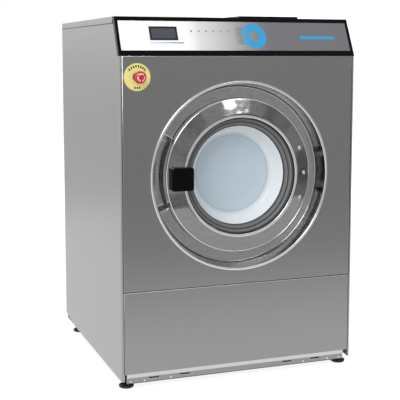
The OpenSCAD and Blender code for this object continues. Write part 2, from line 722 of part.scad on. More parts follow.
module coil(sides = 6, steps = 12) {
    rings = turns * steps;
    points = [for (k = [0 : rings]) each coil_ring(k, sides, steps)];
    skin = [for (k = [0 : rings - 1], j = [0 : sides - 1]) let (n = (j + 1) % sides)
        [k * sides + n, (k + 1) * sides + n, (k + 1) * sides + j, k * sides + j]];
    polyhedron(points, concat(skin, [[for (j = [sides - 1 : -1 : 0]) j],
        [for (j = [0 : sides - 1]) rings * sides + j]]));
}

module spring_plug(z0, z1, bolt0, bolt1) {
    translate([0, 0, z0]) cylinder(r = spring_r - wire_r - loose, h = z1 - z0);
    translate([0, 0, bolt0]) cylinder(r = eye_r, h = bolt1 - bolt0);
}

module springs() color("gray") for (s = [-1, 1], y = hang_y) translate([s * hang_x, front_y + y, 0]) {
    coil();
    spring_plug(coil_z[0] - 3, coil_z[0] + 45, upper_ear_z - 14, coil_z[0]);
    spring_plug(coil_z[1] - 45, coil_z[1] + 3, coil_z[1], beam_z + beam_t + 14);
    translate([0, 0, upper_ear_z - ear_t - seat - 6]) cylinder(r = 10, h = 6, $fn = 6);
    translate([0, 0, beam_z + beam_t + seat]) cylinder(r = 10, h = 6, $fn = 6);
}

// The boot: a cuff inside the surround's neck, one fold, and a cuff on the tub's neck
tub_neck_y = tub_front_y - 13;
boot_t = 2.5;
boot_bend = 3;
boot_in_r = neck_r - boot_t - seat;
boot_fold_r = neck_r + 14 + tub_travel;
boot_fold_y = [neck_y + boot_t + 2, neck_y + boot_t + 2 + 3 * boot_bend];
boot_lip = [neck_r - 14, dish_depth + 12];

module door_boot() color("dimgray") round_axis() polygon(sheet_outline(soft_path([
    boot_lip, [boot_in_r, boot_lip.y - 3, boot_bend], [boot_in_r, boot_fold_y[0], boot_bend],
    [boot_fold_r, boot_fold_y[0], boot_bend], [boot_fold_r, boot_fold_y[1], boot_bend],
    [neck_r + loose, boot_fold_y[1], boot_bend], [neck_r + loose, tub_front_y - 5]]), -boot_t));

// Short bellows between parts that move and parts that stay; a cuff reaches 2 mm past its spigot's end
fold_h = 7;
bellows_t = 3;
grip = cuff + 2;
module bellows(x, y, r, z0, z1) translate([x, front_y + y, 0]) rotate_extrude() {
    folds = max(1, floor((z1 - z0 - 2 * cuff) / 16));
    pitch = (z1 - z0 - 2 * cuff) / folds;
    polygon(sheet_outline(concat([[r, z0]], [for (k = [0 : folds - 1]) let (z = z0 + cuff + k * pitch)
        each [[r, z + 0.1 * pitch], [r + fold_h, z + 0.35 * pitch], [r + fold_h, z + 0.65 * pitch],
            [r, z + 0.9 * pitch]]], [[r, z1]]), -bellows_t));
}

spout_z = tub_top(hopper_x - outlet_r - fold_h - 1) + 12 + grip;
vent_spout_z = tub_top(vent_x + duct_r + fold_h + bellows_t) + 4 + grip;
module bellows_hoses() color("black") {
    bellows(valve_x, valve_y, spigot_r + loose, valve_top - grip, sump_z + grip);
    bellows(hopper_x, hopper_y, outlet_r + loose, spout_z - grip, hopper_z - 0.5);
    bellows(vent_x, vent_y, duct_r + loose, vent_spout_z - grip, vent_mouth + grip);
}

// Tub: a rolled shell with a rear wall, a sump and two inlets on top
hub_r = 62;
sump_r = 48;
module tub_shell() color("silver") difference() {
    union() {
        round_axis() polygon([[tub_r, tub_front_y + 3], [tub_r + tub_flange, tub_front_y + 3],
            [tub_r + tub_flange, tub_front_y + 5], [tub_skin_r, tub_front_y + 5], [tub_skin_r,
                tub_back_y], [hub_r, tub_back_y],
            [hub_r, tub_back_y - tub_t], [tub_r, tub_back_y - tub_t]]);
        difference() {
            union() {
                translate([valve_x, front_y + valve_y, sump_z]) cylinder(r = spigot_r, h = 60);
                translate([valve_x, front_y + valve_y, sump_z + 30]) cylinder(r = sump_r, h = 60);
                translate([hopper_x, front_y + hopper_y, door_z]) cylinder(r = outlet_r,
                    h = spout_z - door_z);
                translate([vent_x, front_y + vent_y, door_z]) cylinder(r = duct_r,
                    h = vent_spout_z - door_z);
            }
            round_axis() translate([0, tub_front_y]) square([tub_r, 600]);
        }
    }
    translate([valve_x, front_y + valve_y, sump_z - 1]) cylinder(r = spigot_r - 3, h = 40);
    translate([valve_x, front_y + valve_y, sump_z + 34]) cylinder(r = sump_r - 4, h = 80);
    translate([hopper_x, front_y + hopper_y, door_z]) cylinder(r = outlet_r - 3, h = body_h);
    translate([vent_x, front_y + vent_y, door_z]) cylinder(r = duct_r - vent_wall, h = body_h);
}

module tub_front() color("silver") round_axis() polygon(sheet_outline(soft_path([
    [tub_r + tub_flange, tub_front_y + 1], [neck_r, tub_front_y + 1, 4], [neck_r, tub_neck_y]]), -tub_t));

// Brackets: four spring ears above and four damper ears below
ear_t = 8;
ear_wall = 6;
upper_ear_w = 40;
lower_ear_w = 44;
module ear_on_tub() difference() {
    children();
    translate([0, front_y, door_z]) rotate([-90, 0, 0]) cylinder(r = tub_skin_r + slip, h = body_d);
}

// An outline drawn in [x, z], w wide along the depth and centred on y
module ear_plate(y, w) front_on(y - w / 2, y + w / 2) children();

module upper_ear(y) difference() {
    ear_plate(y, upper_ear_w) polygon([[hang_x - 85, upper_ear_z - 70], [hang_x + 18, upper_ear_z - ear_t],
        [hang_x + 18, upper_ear_z], [hang_x - 85, upper_ear_z]]);
    ear_plate(y, upper_ear_w - 2 * ear_wall) polygon([[hang_x - 95, upper_ear_z - 90],
        [hang_x + 30, upper_ear_z - ear_t], [hang_x - 95, upper_ear_z - ear_t]]);
    translate([hang_x, front_y + y, upper_ear_z - 40]) cylinder(r = eye_r + seat, h = 60);
}

module lower_ear(y) difference() {
    ear_plate(y, lower_ear_w) polygon([[damper_x - 70, lower_ear_z], [damper_x + 24, lower_ear_z],
        [damper_x + 24, lower_ear_z + ear_t], [damper_x + 12, lower_ear_z + 90],
        [damper_x - 90, lower_ear_z + 30]]);
    ear_plate(y, lower_ear_w - 2 * ear_wall) polygon([[damper_x - 100, lower_ear_z + ear_t],
        [damper_x + 40, lower_ear_z + ear_t], [damper_x + 40, lower_ear_z + 120],
        [damper_x - 100, lower_ear_z + 120]]);
    translate([damper_x, front_y + y, lower_ear_z - 1]) cylinder(r = 5 + seat, h = 40);
}

module tub_brackets() color("dimgray") mirrored() for (y = hang_y) {
    ear_on_tub() upper_ear(y);
    ear_on_tub() lower_ear(y);
}

weight_t = 40;
weight_r = [neck_r + 38, tub_r - 10];
module counterweights() color("slategray") for (a = [[42, 138], [222, 318]]) round_axis(a)
    polygon([[weight_r[0], tub_front_y - weight_t + 4], [weight_r[0] + 4, tub_front_y - weight_t],
        [weight_r[1] - 4, tub_front_y - weight_t], [weight_r[1], tub_front_y - weight_t + 4],
        [weight_r[1], tub_front_y + 1 - slip], [weight_r[0], tub_front_y + 1 - slip]]);

// Bearing housing: a hub with four arms across the back of the tub
housing_y = [tub_back_y, tub_back_y + 110];
front_brg = [55, 30, tub_back_y + 8, 27];
rear_brg = [45, 25, tub_back_y + 84, 23];
arm_y = 38;
module bearing_housing() color("dimgray") difference() {
    union() {
        round_axis() polygon([[0, housing_y[0]], [78, housing_y[0]], [78, housing_y[0] + 40],
            [60, housing_y[0] + 55], [60, housing_y[1]], [0, housing_y[1]]]);
        for (a = [45, 135, 225, 315]) translate([0, front_y, door_z]) rotate([0, a, 0])
            translate([0, tub_back_y, 0]) rotate([-90, 0, 0]) linear_extrude(arm_y)
                polygon([[60, -34], [tub_r - 8, -22], [tub_r - 8, 22], [60, 34]]);
    }
    round_axis() polygon([[0, housing_y[0] - 1], [51, housing_y[0] - 1], [51, front_brg[2]],
        [front_brg[0], front_brg[2]], [front_brg[0], front_brg[2] + front_brg[3]], [42,
            front_brg[2] + front_brg[3]],
        [42, rear_brg[2]], [rear_brg[0], rear_brg[2]], [rear_brg[0], rear_brg[2] + rear_brg[3]], [0,
            rear_brg[2] + rear_brg[3]]]);
    round_axis() square([40, 900]);
    for (a = [45, 135, 225, 315]) translate([0, front_y, door_z]) rotate([0, a, 0])
        translate([0, tub_back_y + 8, 0]) rotate([-90, 0, 0]) linear_extrude(arm_y)
            polygon([[90, -22], [tub_r - 24, -13], [tub_r - 24, 13], [90, 22]]);
}

module bearing(b, bore) round_axis() polygon([[bore, b[2]], [b[0], b[2]], [b[0], b[2] + b[3]], [bore,
    b[2] + b[3]]]);
module drum_bearings() color("silver") {
    bearing(front_brg, front_brg[1] + slip);
    bearing(rear_brg, rear_brg[1] + slip);
}

module shaft_seal() color("black") round_axis() polygon([[front_brg[1] + 0.3, tub_back_y], [51, tub_back_y],
    [51, front_brg[2]], [44, front_brg[2]], [44, tub_back_y + 4], [front_brg[1] + 0.3, tub_back_y + 4]]);

// Drum: shell with a rolled mouth, three lifters, and a spider with its shaft
drum_r = tub_r - drum_gap;
drum_y = [tub_front_y + 20, tub_back_y - 30];
drum_t = 2;
module drum_shell() color("lightgray") round_axis() polygon(sheet_outline(soft_path([
    [mouth_r + 7, drum_y[0] + 3], [mouth_r, drum_y[0] - 4, 2], [mouth_r + 8, drum_y[0] - 5, 2],
    [mouth_r + 14, drum_y[0], 3], [drum_r, drum_y[0], 12], [drum_r, drum_y[1], 14],
    [60, drum_y[1], 6], [56, drum_y[1] - 5, 3], [0, drum_y[1] - 5]]), -drum_t));

lifter_h = 55;
lifter_t = 3;
lifter_foot = 42;
lifter_top = 14;
module lifter_section(inset) polygon(concat([[drum_r + 10, -lifter_foot - 6 + inset]],
    arc([drum_r - lifter_h + lifter_top, 0], lifter_top - inset, 240, 120, 6), [[drum_r + 10,
        lifter_foot + 6 - inset]]));
module drum_lifters() color("lightgray") for (a = [90, 210, 330]) translate([0, front_y, door_z])
    rotate([0, -a, 0])
    translate([0, drum_y[1] - 24, 0]) rotate([90, 0, 0]) linear_extrude(drum_y[1] - drum_y[0] - 48)
        intersection() {
            difference() {
                lifter_section(0);
                lifter_section(lifter_t);
            }
            circle(r = drum_r - seat, $fn = 180);
        }

spider_t = 20;
spider_y = [drum_y[1] + drum_t + slip, drum_y[1] + drum_t + spider_t];
shaft_reach = 177;
shaft_end = tub_back_y + shaft_reach;
nose_r = 22;
module spider_arm() translate([0, spider_y[0], 0]) rotate([-90, 0, 0])
    linear_extrude(spider_y[1] - spider_y[0]) polygon([[20, -42], [drum_r - 22, -20], [drum_r - 14, -12],
        [drum_r - 14, 12], [drum_r - 22, 20], [20, 42]]);

module drum_spider() color("gray") {
    for (a = [30, 150, 270]) translate([0, front_y, door_z]) rotate([0, a, 0]) spider_arm();
    round_axis() polygon([[0, spider_y[0]], [56, spider_y[0]], [56, spider_y[1]],
        [front_brg[1] + 12, tub_back_y - 5], [front_brg[1], tub_back_y - 5],
        [front_brg[1], front_brg[2] + front_brg[3] + 2], [rear_brg[1], front_brg[2] + front_brg[3] + 2],
        [rear_brg[1], rear_brg[2] + rear_brg[3] + 2], [nose_r, rear_brg[2] + rear_brg[3] + 2],
        [nose_r, shaft_end - 8], [0, shaft_end - 8]]);
}

// Drum pulley: hub, spokes between round windows, and a grooved rim
pulley_y = [shaft_end - 50, shaft_end - 12];
groove_p = 3.6;
grooves = 8;
groove_edge = 1;
groove_h = 2;
function groove_line(r, y0) = [for (k = [0 : grooves - 1])
    each [[r - groove_edge, y0 + k * groove_p], [r - groove_edge - groove_h, y0 + (k + 0.5) * groove_p]]];
belt_y = (pulley_y[0] + pulley_y[1]) / 2 - grooves * groove_p / 2;
pulley_hub_r = 48;
web_y = [pulley_y[0] + 14, pulley_y[0] + 22];
belt_end = belt_y + grooves * groove_p;
module drum_pulley() color("gray") difference() {
    round_axis() polygon(concat([[nose_r, pulley_y[0]], [pulley_hub_r, pulley_y[0]], [pulley_hub_r,
        web_y[0]],
        [pulley_r - 14, web_y[0]], [pulley_r - 10, pulley_y[0]], [pulley_r, pulley_y[0]], [pulley_r,
            belt_y - 2]],
        groove_line(pulley_r, belt_y),
        [[pulley_r - groove_edge, belt_end], [pulley_r, belt_end + 2], [pulley_r, pulley_y[1]],
        [pulley_r - 8, pulley_y[1]], [pulley_r - 12, web_y[1]], [pulley_hub_r, web_y[1]],
        [pulley_hub_r - 4, pulley_y[1]], [nose_r, pulley_y[1]]]));
    for (a = [0 : 60 : 300]) translate([0, front_y + pulley_y[0] - 1, door_z]) rotate([0, a, 0])
        translate([(pulley_r + 34) / 2, 0, 0]) rotate([-90, 0, 0]) cylinder(r = 36 * pulley_r / 170,
            h = 60);
}

// Motor under the tub; its shaft ends in a small grooved pulley in line with the drum's
motor_x = 140;
motor_z = rail_z + motor_r + 0.181 * (tub_under(motor_x) - rail_z - 2 * motor_r);
motor_y = [430, 655];
motor_feet = [470, 560];
motor_foot = 18;
motor_foot_w = 80;
motor_foot_z = motor_z + motor_r + 14;
motor_shaft_r = 15;
mount_w = 124;
mount_plate = 6;
window_w = 72;
window_room = tub_under(motor_x - window_w / 2) - motor_foot_z - mount_plate;
module motor_turn() translate([motor_x, front_y, motor_z]) rotate([-90, 0, 0]) rotate_extrude() children();

module motor_housing() color("dimgray") difference() {
    union() {
        motor_turn() polygon([[0, motor_y[0]], [motor_r - 18, motor_y[0]], [motor_r, motor_y[0] + 14],
            [motor_r, motor_y[1] - 14], [motor_r - 18, motor_y[1]], [0, motor_y[1]]]);
        for (y = motor_feet) box([motor_x - motor_foot_w / 2, y - motor_foot / 2, motor_z],
            [motor_x + motor_foot_w / 2, y + motor_foot / 2, motor_foot_z]);
    }
    motor_turn() translate([0, motor_y[0] + 12]) square([motor_shaft_r + loose, 400]);
    for (k = [0 : 15]) translate([motor_x, front_y, motor_z]) rotate([0, 22.5 * k, 0])
        translate([-2, motor_y[0] + 40, motor_r - 4]) cube([4, motor_y[1] - motor_y[0] - 80, 10]);
}

// A plate on the motor's feet, with two ribs up to the tub that have a window each
module motor_mount() color("gray") difference() {
    union() {
        box([motor_x - mount_w / 2, motor_feet[0] - motor_foot / 2, motor_foot_z],
            [motor_x + mount_w / 2, motor_feet[1] + motor_foot / 2, motor_foot_z + mount_plate]);
        for (y = motor_feet) box([motor_x - mount_w / 2, y - motor_foot / 2, motor_foot_z],
            [motor_x + mount_w / 2, y + motor_foot / 2, tub_under(motor_x + mount_w / 2) + 38]);
    }
    translate([0, front_y, door_z]) rotate([-90, 0, 0]) cylinder(r = tub_skin_r + slip, h = body_d);
    for (y = motor_feet)
        box([motor_x - window_w / 2, y - motor_foot, motor_foot_z + mount_plate + 0.1 * window_room],
            [motor_x + window_w / 2, y + motor_foot, motor_foot_z + mount_plate + 0.86 * window_room]);
}

module motor_shaft() color("silver") motor_turn() polygon(concat([[0, motor_y[0] + 14],
    [motor_shaft_r, motor_y[0] + 14], [motor_shaft_r, pulley_y[0]], [motor_pulley_r, pulley_y[0]],
    [motor_pulley_r, belt_y - 2]], groove_line(motor_pulley_r, belt_y),
    [[motor_pulley_r - groove_edge, belt_end], [motor_pulley_r, belt_end + 2],
    [motor_pulley_r, pulley_y[1]], [0, pulley_y[1]]]));

// The belt's inner line touches both pulleys along their common outer tangents
belt_t = 4;
module belt_line(t) {
    c = [motor_x, motor_z - door_z];
    R = pulley_r - groove_edge + loose + t;
    r = motor_pulley_r - groove_edge + loose + t;
    lean = atan2(c.y, c.x);
    open = acos((R - r) / norm(c));
    polygon(concat(arc([0, 0], R, lean + open, lean + 360 - open, 40), arc(c, r, lean - open, lean + open,
        20)));
}

module drive_belt() color("black")
    translate([0, front_y + belt_end, door_z]) rotate([90, 0, 0])
        linear_extrude(grooves * groove_p) difference() {
            belt_line(belt_t);
            belt_line(0);
        }

// Two U-shaped heating elements between drum and tub
heater_r = (drum_r + drum_t + tub_r) / 2;
heater_rod = 4.2;
heater_bend = 23;
heater_y = [210, tub_back_y - tub_t];
module heating_elements() color("gray") for (a = [-16, 16])
    translate([0, front_y, door_z]) rotate([0, a, 0]) translate([0, 0, -heater_r]) {
        for (s = [-1, 1]) translate([s * heater_bend, heater_y[0], 0]) rotate([-90, 0, 0])
            cylinder(r = heater_rod, h = heater_y[1] - heater_y[0]);
        translate([0, heater_y[0], 0]) rotate([0, 0, 180]) rotate_extrude(angle = 180)
            translate([heater_bend, 0]) circle(r = heater_rod);
    }

// Door ring: side wall, shallow cone, bead round the window and a short inner lip
ring_t = 2;
flange_y = 31;
ring_back = 42;
ring_edge = 18;
bead_y = -3;
ring_path = [[ring_r, ring_back], [ring_r, ring_edge, 4], [bead_r + 4, bead_y, 3], [bead_r - 3, bead_y,
    3], [bead_r - 3, 8]];
function cone_y(r) = bead_y + (r - bead_r - 4) * (ring_edge - bead_y) / (ring_r - bead_r - 4);
cone_angle = atan2(ring_edge - bead_y, ring_r - bead_r - 4);
hinge_screw_r = 236;
hinge_screw_angles = [-20.7, 0.5, 21.8];

// Draws at a hinge screw, with z out of the door's face
module at_hinge_screw(a) translate([0, front_y, door_z]) rotate([0, -a, 0])
    translate([hinge_screw_r, cone_y(hinge_screw_r), 0]) rotate([0, 0, cone_angle]) rotate([90, 0, 0])
        children();

module door_ring() color("lightgray") difference() {
    round_axis() polygon(sheet_outline(soft_path(ring_path, 4), -ring_t));
    for (a = hinge_screw_angles) at_hinge_screw(a) translate([0, 0, -6]) cylinder(r = 3.2, h = 12);
    box([hinge_x - 6, ring_edge + 3.5, door_z - 62], [ring_r + 5, ring_back + 5, door_z + 62]);
    box([hook_x - 12, -10, door_z - 11], [hook_x + 12, 30, door_z + 11]);
}

clamp_y = flange_y + glass_t + seat;
clamp_r = ring_r - 2 * ring_t - seat;
module door_back_ring() color("silver") difference() {
    round_axis() polygon(sheet_outline(soft_path([[clamp_r, clamp_y - 6], [clamp_r, clamp_y, 3],
        [window_r + 8, clamp_y]]), -ring_t));
    box([hinge_x - 13, 0, door_z - 62], [ring_r + 5, 100, door_z + 62]);
    box([slot_x[0] + 1, 0, door_z - slot_z], [slot_x[1], 100, door_z + slot_z]);
}

module door_glass() color("lightblue", 0.5) round_axis() polygon(sheet_outline(soft_path([[window_r + 20,
    flange_y],
    [window_r, flange_y, 4], [window_r - 16, bowl_depth - 20, 14], [window_r - 70,
        bowl_depth - glass_t - 3, 60], [0, bowl_depth - glass_t]], 4), -glass_t));

module door_gasket() color("black") round_axis() polygon([[bead_r - ring_t - 3 - seat, 4],
    [bead_r - ring_t - 3 - seat, flange_y + 6.8],
    [window_r + 20 + seat, flange_y + 6.8], [window_r + 20 + seat, flange_y - seat], [window_r - 1,
        flange_y - seat],
    [window_r, flange_y - 4], [window_r + 14, 22], [bead_r - 10, 6]]);

leaf_y = [24, 30];
eye_z = 32;
module door_hinge_leaf() color("gray") difference() {
    union() {
        front_on(leaf_y[0], leaf_y[1]) translate([0, door_z])
            polygon(concat(arc([0, 0], hinge_screw_r + 9, -24, 24, 8), arc([0, 0], hinge_screw_r - 22, 24,
                -24, 8)));
        plan(door_z - eye_z, door_z + eye_z) polygon([[hinge_screw_r - 20, leaf_y[0]], [hinge_x,
            leaf_y[0]], [hinge_x, leaf_y[1]], [hinge_screw_r - 20, leaf_y[1]]]);
        translate([hinge_x, front_y + hinge_depth, door_z - eye_z]) cylinder(r = lug_r, h = 2 * eye_z);
        for (a = hinge_screw_angles) translate([hinge_screw_r * cos(a), front_y,
            door_z + hinge_screw_r * sin(a)])
            rotate([-90, 0, 0]) translate([0, 0, cone_y(hinge_screw_r + 8) + 2.4]) cylinder(r = 7,
                h = leaf_y[0] - cone_y(hinge_screw_r + 8));
    }
    translate([hinge_x, front_y + hinge_depth, door_z - 80]) cylinder(r = hinge_pin_r + slip, h = 160);
    for (a = hinge_screw_angles) at_hinge_screw(a) translate([0, 0, -30]) cylinder(r = 3.05, h = 30);
    hinge_lug_slots(1);
    for (s = [-1, 1]) box([hinge_x - 11, 10, door_z + s * 48 - 15], [hinge_x + 20, 60,
        door_z + s * 48 + 15]);
}

module hinge_screws() color("silver") for (a = hinge_screw_angles) at_hinge_screw(a) rotate_extrude()
    polygon(concat([[0, -14], [3, -14], [3, 0]], arc([0, -4], 8.5, 28, 90, 5)));

// Handle housing on the door's face, with the handle's pivot and the hook's lugs
handle_x = -214.5;
pivot_x = -188;
pivot_y = -13;
pivot_z = [24, 30];
module door_keep_out(gap) round_axis() polygon([[100, 60], [100, bead_y - gap], [bead_r + 4, bead_y - gap],
    [ring_r, ring_edge - gap], [ring_r + 20, ring_edge - gap], [ring_r + 20, 60]]);

module handle_housing() color("black") difference() {
    union() {
        difference() {
            plan(door_z - 30, door_z + 30) polygon([[hook_x - 9, 13], [hook_x - 9, -7], [pivot_x - 5, -7],
                [pivot_x - 5, bead_y]]);
            door_keep_out(seat);
        }
        for (s = [-1, 1]) plan(door_z + s * (pivot_z[0] + pivot_z[1]) / 2 - 3,
            door_z + s * (pivot_z[0] + pivot_z[1]) / 2 + 3)
            union() {
                translate([pivot_x, pivot_y]) circle(r = 6);
                polygon([[pivot_x - 16, -6.5], [pivot_x - 12, pivot_y - 4], [pivot_x, pivot_y - 6],
                    [pivot_x, pivot_y], [pivot_x - 5, -6.5]]);
            }
        for (s = [-1, 1]) plan(door_z + s * 7.5 - 2.5, door_z + s * 7.5 + 2.5) union() {
            translate([hook_x - 8, -2]) square([16, hook_depth + 2]);
            translate([hook_x, hook_depth]) circle(r = 8);
        }
    }
    translate([pivot_x, front_y + pivot_y, door_z - 50]) cylinder(r = 3 + slip, h = 100);
    translate([hook_x, front_y + hook_depth, door_z - 50]) cylinder(r = 3 + slip, h = 100);
}

handle_face = -25;
module door_handle() color("black") {
    difference() {
        translate([handle_x, front_y + 12, door_z]) rotate([90, 0, 0])
            linear_extrude(12 - handle_face - 3) round_rect(handle_size, 9);
        door_keep_out(1.2);
        translate([handle_x, front_y + 14, door_z]) rotate([90, 0, 0])
            linear_extrude(14 - handle_face - 5) round_rect(handle_size - [9, 9], 5);
    }
    translate([handle_x, front_y + handle_face + 3, door_z]) rotate([90, 0, 0]) linear_extrude(3,
        scale = 0.93) round_rect(handle_size, 9);
    for (s = [-1, 1]) translate([pivot_x, front_y + pivot_y, door_z + s * 28.5]) cylinder(r = 3, h = 13,
        center = true);
}

module latch_hook() color("gray") {
    plan(door_z - 4.6, door_z + 4.6) union() {
        translate([hook_x, hook_depth]) circle(r = 8);
        polygon([[hook_x - 5, hook_depth], [hook_x - 5, hook_end - 13], [hook_x - 12, hook_end - 10],
            [hook_x - 12, hook_end - 6], [hook_x - 5, hook_end], [hook_x + 4, hook_end], [hook_x + 4,
                hook_depth]]);
    }
    translate([hook_x, front_y + hook_depth, door_z]) cylinder(r = 3, h = 20, center = true);
}

base_frame();
levelling_feet();
plinth();
suspension_frame();
left_panel();
right_panel();
rear_panel();
top_panel();
front_panel();
service_panel();
door_surround();
fascia_frame();
fascia_plate();
display_screen();
estop_legend_plate();
estop_collar();
estop_plunger();
estop_button();
dispenser_hopper();
dispenser_lid();
door_hinge_bracket();
door_hinge_pin();
door_lock();
inlet_valves();
fill_hoses();
drain_valve();
vent_outlet();
cable_gland();
drive_box();
damper_cylinders();
cabinet_screws();
springs();
door_boot();
bellows_hoses();
tub_shell();
tub_front();
tub_brackets();
counterweights();
bearing_housing();
drum_bearings();
shaft_seal();
damper_rods();
motor_mount();
motor_housing();
heating_elements();
drive_belt();
drum_shell();
drum_lifters();
drum_spider();
drum_pulley();
motor_shaft();
door_ring();
door_back_ring();
door_glass();
door_gasket();
door_hinge_leaf();
hinge_screws();
handle_housing();
door_handle();
latch_hook();
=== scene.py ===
"""Looks for a front-loading washer-extractor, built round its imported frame.

The frame's axes are used: X runs across the machine, -Y is the front with the door, and Z
is up from the floor. Points in the frame are in metres. The sizes of pieces are in
millimetres: radii from the door's axis, and depths behind the front panel.
"""

from __future__ import annotations

import json
import logging
import math
from collections.abc import Callable, Iterator
from contextlib import contextmanager
from dataclasses import dataclass, field
from enum import Enum

import bmesh
import bpy
from mathutils import Matrix, Vector

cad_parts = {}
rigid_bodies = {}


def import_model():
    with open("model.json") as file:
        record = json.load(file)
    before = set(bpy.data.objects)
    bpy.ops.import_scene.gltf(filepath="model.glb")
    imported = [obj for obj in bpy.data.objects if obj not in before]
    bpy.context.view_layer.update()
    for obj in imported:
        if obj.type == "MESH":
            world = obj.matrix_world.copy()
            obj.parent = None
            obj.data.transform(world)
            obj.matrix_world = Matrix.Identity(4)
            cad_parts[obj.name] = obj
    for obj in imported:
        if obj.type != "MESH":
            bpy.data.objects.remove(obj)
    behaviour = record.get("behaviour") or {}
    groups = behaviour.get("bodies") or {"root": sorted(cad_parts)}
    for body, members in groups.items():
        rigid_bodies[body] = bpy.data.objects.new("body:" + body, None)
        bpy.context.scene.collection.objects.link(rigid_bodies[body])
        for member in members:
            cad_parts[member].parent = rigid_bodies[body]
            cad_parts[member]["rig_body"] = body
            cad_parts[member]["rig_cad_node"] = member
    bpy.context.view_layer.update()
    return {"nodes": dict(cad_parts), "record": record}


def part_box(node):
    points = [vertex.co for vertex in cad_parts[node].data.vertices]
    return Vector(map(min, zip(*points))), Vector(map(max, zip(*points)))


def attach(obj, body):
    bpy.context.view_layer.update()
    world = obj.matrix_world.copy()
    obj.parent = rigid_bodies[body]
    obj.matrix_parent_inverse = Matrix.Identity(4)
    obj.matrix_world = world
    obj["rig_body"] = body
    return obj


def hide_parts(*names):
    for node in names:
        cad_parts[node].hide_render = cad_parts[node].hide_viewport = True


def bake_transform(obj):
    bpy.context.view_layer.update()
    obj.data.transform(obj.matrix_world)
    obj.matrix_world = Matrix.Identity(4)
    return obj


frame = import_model()

log = logging.getLogger("washer")
MM = 0.001
FULL_TURN = 2 * math.pi
FRONT_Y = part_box("front_panel")[0].y
DOOR_Z = (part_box("door_glass")[0].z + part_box("door_glass")[1].z) / 2
SEAM_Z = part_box("left_panel")[1].z
WHITE, BLACK = "#ffffff", "#000000"
NOISE_SPAN = (0.3, 0.7)  # most of a noise texture's values lie between these
DOUBLES = 1e-6  # corners of a turned piece that are closer than this, in metres, are one
CAD_DOUBLES = 1e-5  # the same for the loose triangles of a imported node

Object = bpy.types.Object
Tree = bpy.types.NodeTree
Socket = bpy.types.NodeSocket
Span = tuple[float, float]
Point = tuple[float, float, float]
Outline = list[Span]
Section = tuple[tuple[float, ...], ...]
Cuts = tuple[tuple[Point, Point], ...]


class Axis(Enum):
    """The direction along which a finish is ground, or about which a piece is turned."""

    X = 0
    Y = 1
    Z = 2


class Element(Enum):
    """What is selected in edit mode, with the name of its list in an edit mesh."""

    VERT = "verts"
    EDGE = "edges"
    FACE = "faces"


def srgb(code: str) -> tuple[float, float, float, float]:
    """Turns a hex colour such as "#7a7a7b" into linear values.

    Args:
        code: The sRGB colour as it is written on a colour card.

    Returns:
        The linear red, green and blue, and an alpha of 1.
    """
    parts = [int(code[i:i + 2], 16) / 255 for i in (1, 3, 5)]
    linear = [p / 12.92 if p <= 0.04045 else ((p + 0.055) / 1.055) ** 2.4 for p in parts]
    return (*linear, 1.0)


def mix_hex(one: str, other: str, share: float) -> str:
    """Mixes two hex colours.

    Args:
        one: The first colour.
        other: The colour that is mixed in.
        share: How much of the other colour there is, from 0 to 1.

    Returns:
        The hex colour between them.
    """
    pairs = [(int(one[i:i + 2], 16), int(other[i:i + 2], 16)) for i in (1, 3, 5)]
    return "#" + "".join(f"{round(a * (1 - share) + b * share):02x}" for a, b in pairs)


def empty_tree(owner: bpy.types.Material | bpy.types.World) -> Tree:
    """Gives a material or a world an empty node tree.

    Args:
        owner: The material or world.

    Returns:
        The empty tree.
    """
    owner.use_nodes = True
    owner.node_tree.nodes.clear()
    return owner.node_tree


def add_node(tree: Tree, kind: str, inputs: dict | list | tuple = (), out: int | str = 0,
             stops: tuple[tuple[float, str], ...] = (), **settings: object) -> Socket | None:
    """Adds a node to a tree, with its settings and links.

    Args:
        tree: The node tree of a material or of the world.
        kind: The node's type name after "ShaderNode".
        inputs: What goes into its sockets, in order or by name: values, or other sockets.
        out: Which of its outputs is given back.
        stops: A colour ramp's places from 0 to 1, each with its hex colour.
        settings: The node's own properties.

    Returns:
        The output socket, or None for a node that has no outputs.
    """
    node = tree.nodes.new("ShaderNode" + kind)
    for name, value in settings.items():
        setattr(node, name, value)
    for i, (place, code) in enumerate(stops):
        elements = node.color_ramp.elements
        element = elements[i] if i < len(elements) else elements.new(place)
        element.position, element.color = place, srgb(code)
    for key, value in inputs.items() if isinstance(inputs, dict) else enumerate(inputs):
        if isinstance(value, Socket):
            tree.links.new(value, node.inputs[key])
        else:
            node.inputs[key].default_value = value
    return node.outputs[out] if node.outputs else None


def object_noise(tree: Tree, size_mm: Point | list[float], detail: float) -> Socket:
    """Noise in the piece's own coordinates.

    Args:
        tree: The material's node tree.
        size_mm: The length of one blot along X, Y and Z.
        detail: How many finer layers the noise has.

    Returns:
        The noise's value, about 0.5 on average.
    """
    place = add_node(tree, "TexCoord", out="Object")
    scale = [1 / (size * MM) for size in size_mm]
    scaled = add_node(tree, "Mapping", {"Vector": place, "Scale": scale})
    return add_node(tree, "TexNoise", {"Vector": scaled, "Scale": 1.0, "Detail": detail})


def object_axes(tree: Tree) -> tuple[Socket, ...]:
    """The piece's own X, Y and Z, in metres."""
    place = add_node(tree, "TexCoord", out="Object")
    return tuple(add_node(tree, "SeparateXYZ", [place]).node.outputs)


def between(tree: Tree, value: Socket, low: float, high: float, soft: float = 0.0004) -> Socket:
    """A mask that is 1 where a value lies between two bounds, and 0 elsewhere.

    Args:
        tree: The material's node tree.
        value: The value.
        low: The lower bound.
        high: The upper bound.
        soft: Half the width of the soft edge at each bound.

    Returns:
        The mask.
    """
    above = add_node(tree, "MapRange", [value, low - soft, low + soft, 0.0, 1.0])
    below = add_node(tree, "MapRange", [value, high - soft, high + soft, 1.0, 0.0])
    return add_node(tree, "Math", [above, below], operation="MULTIPLY")


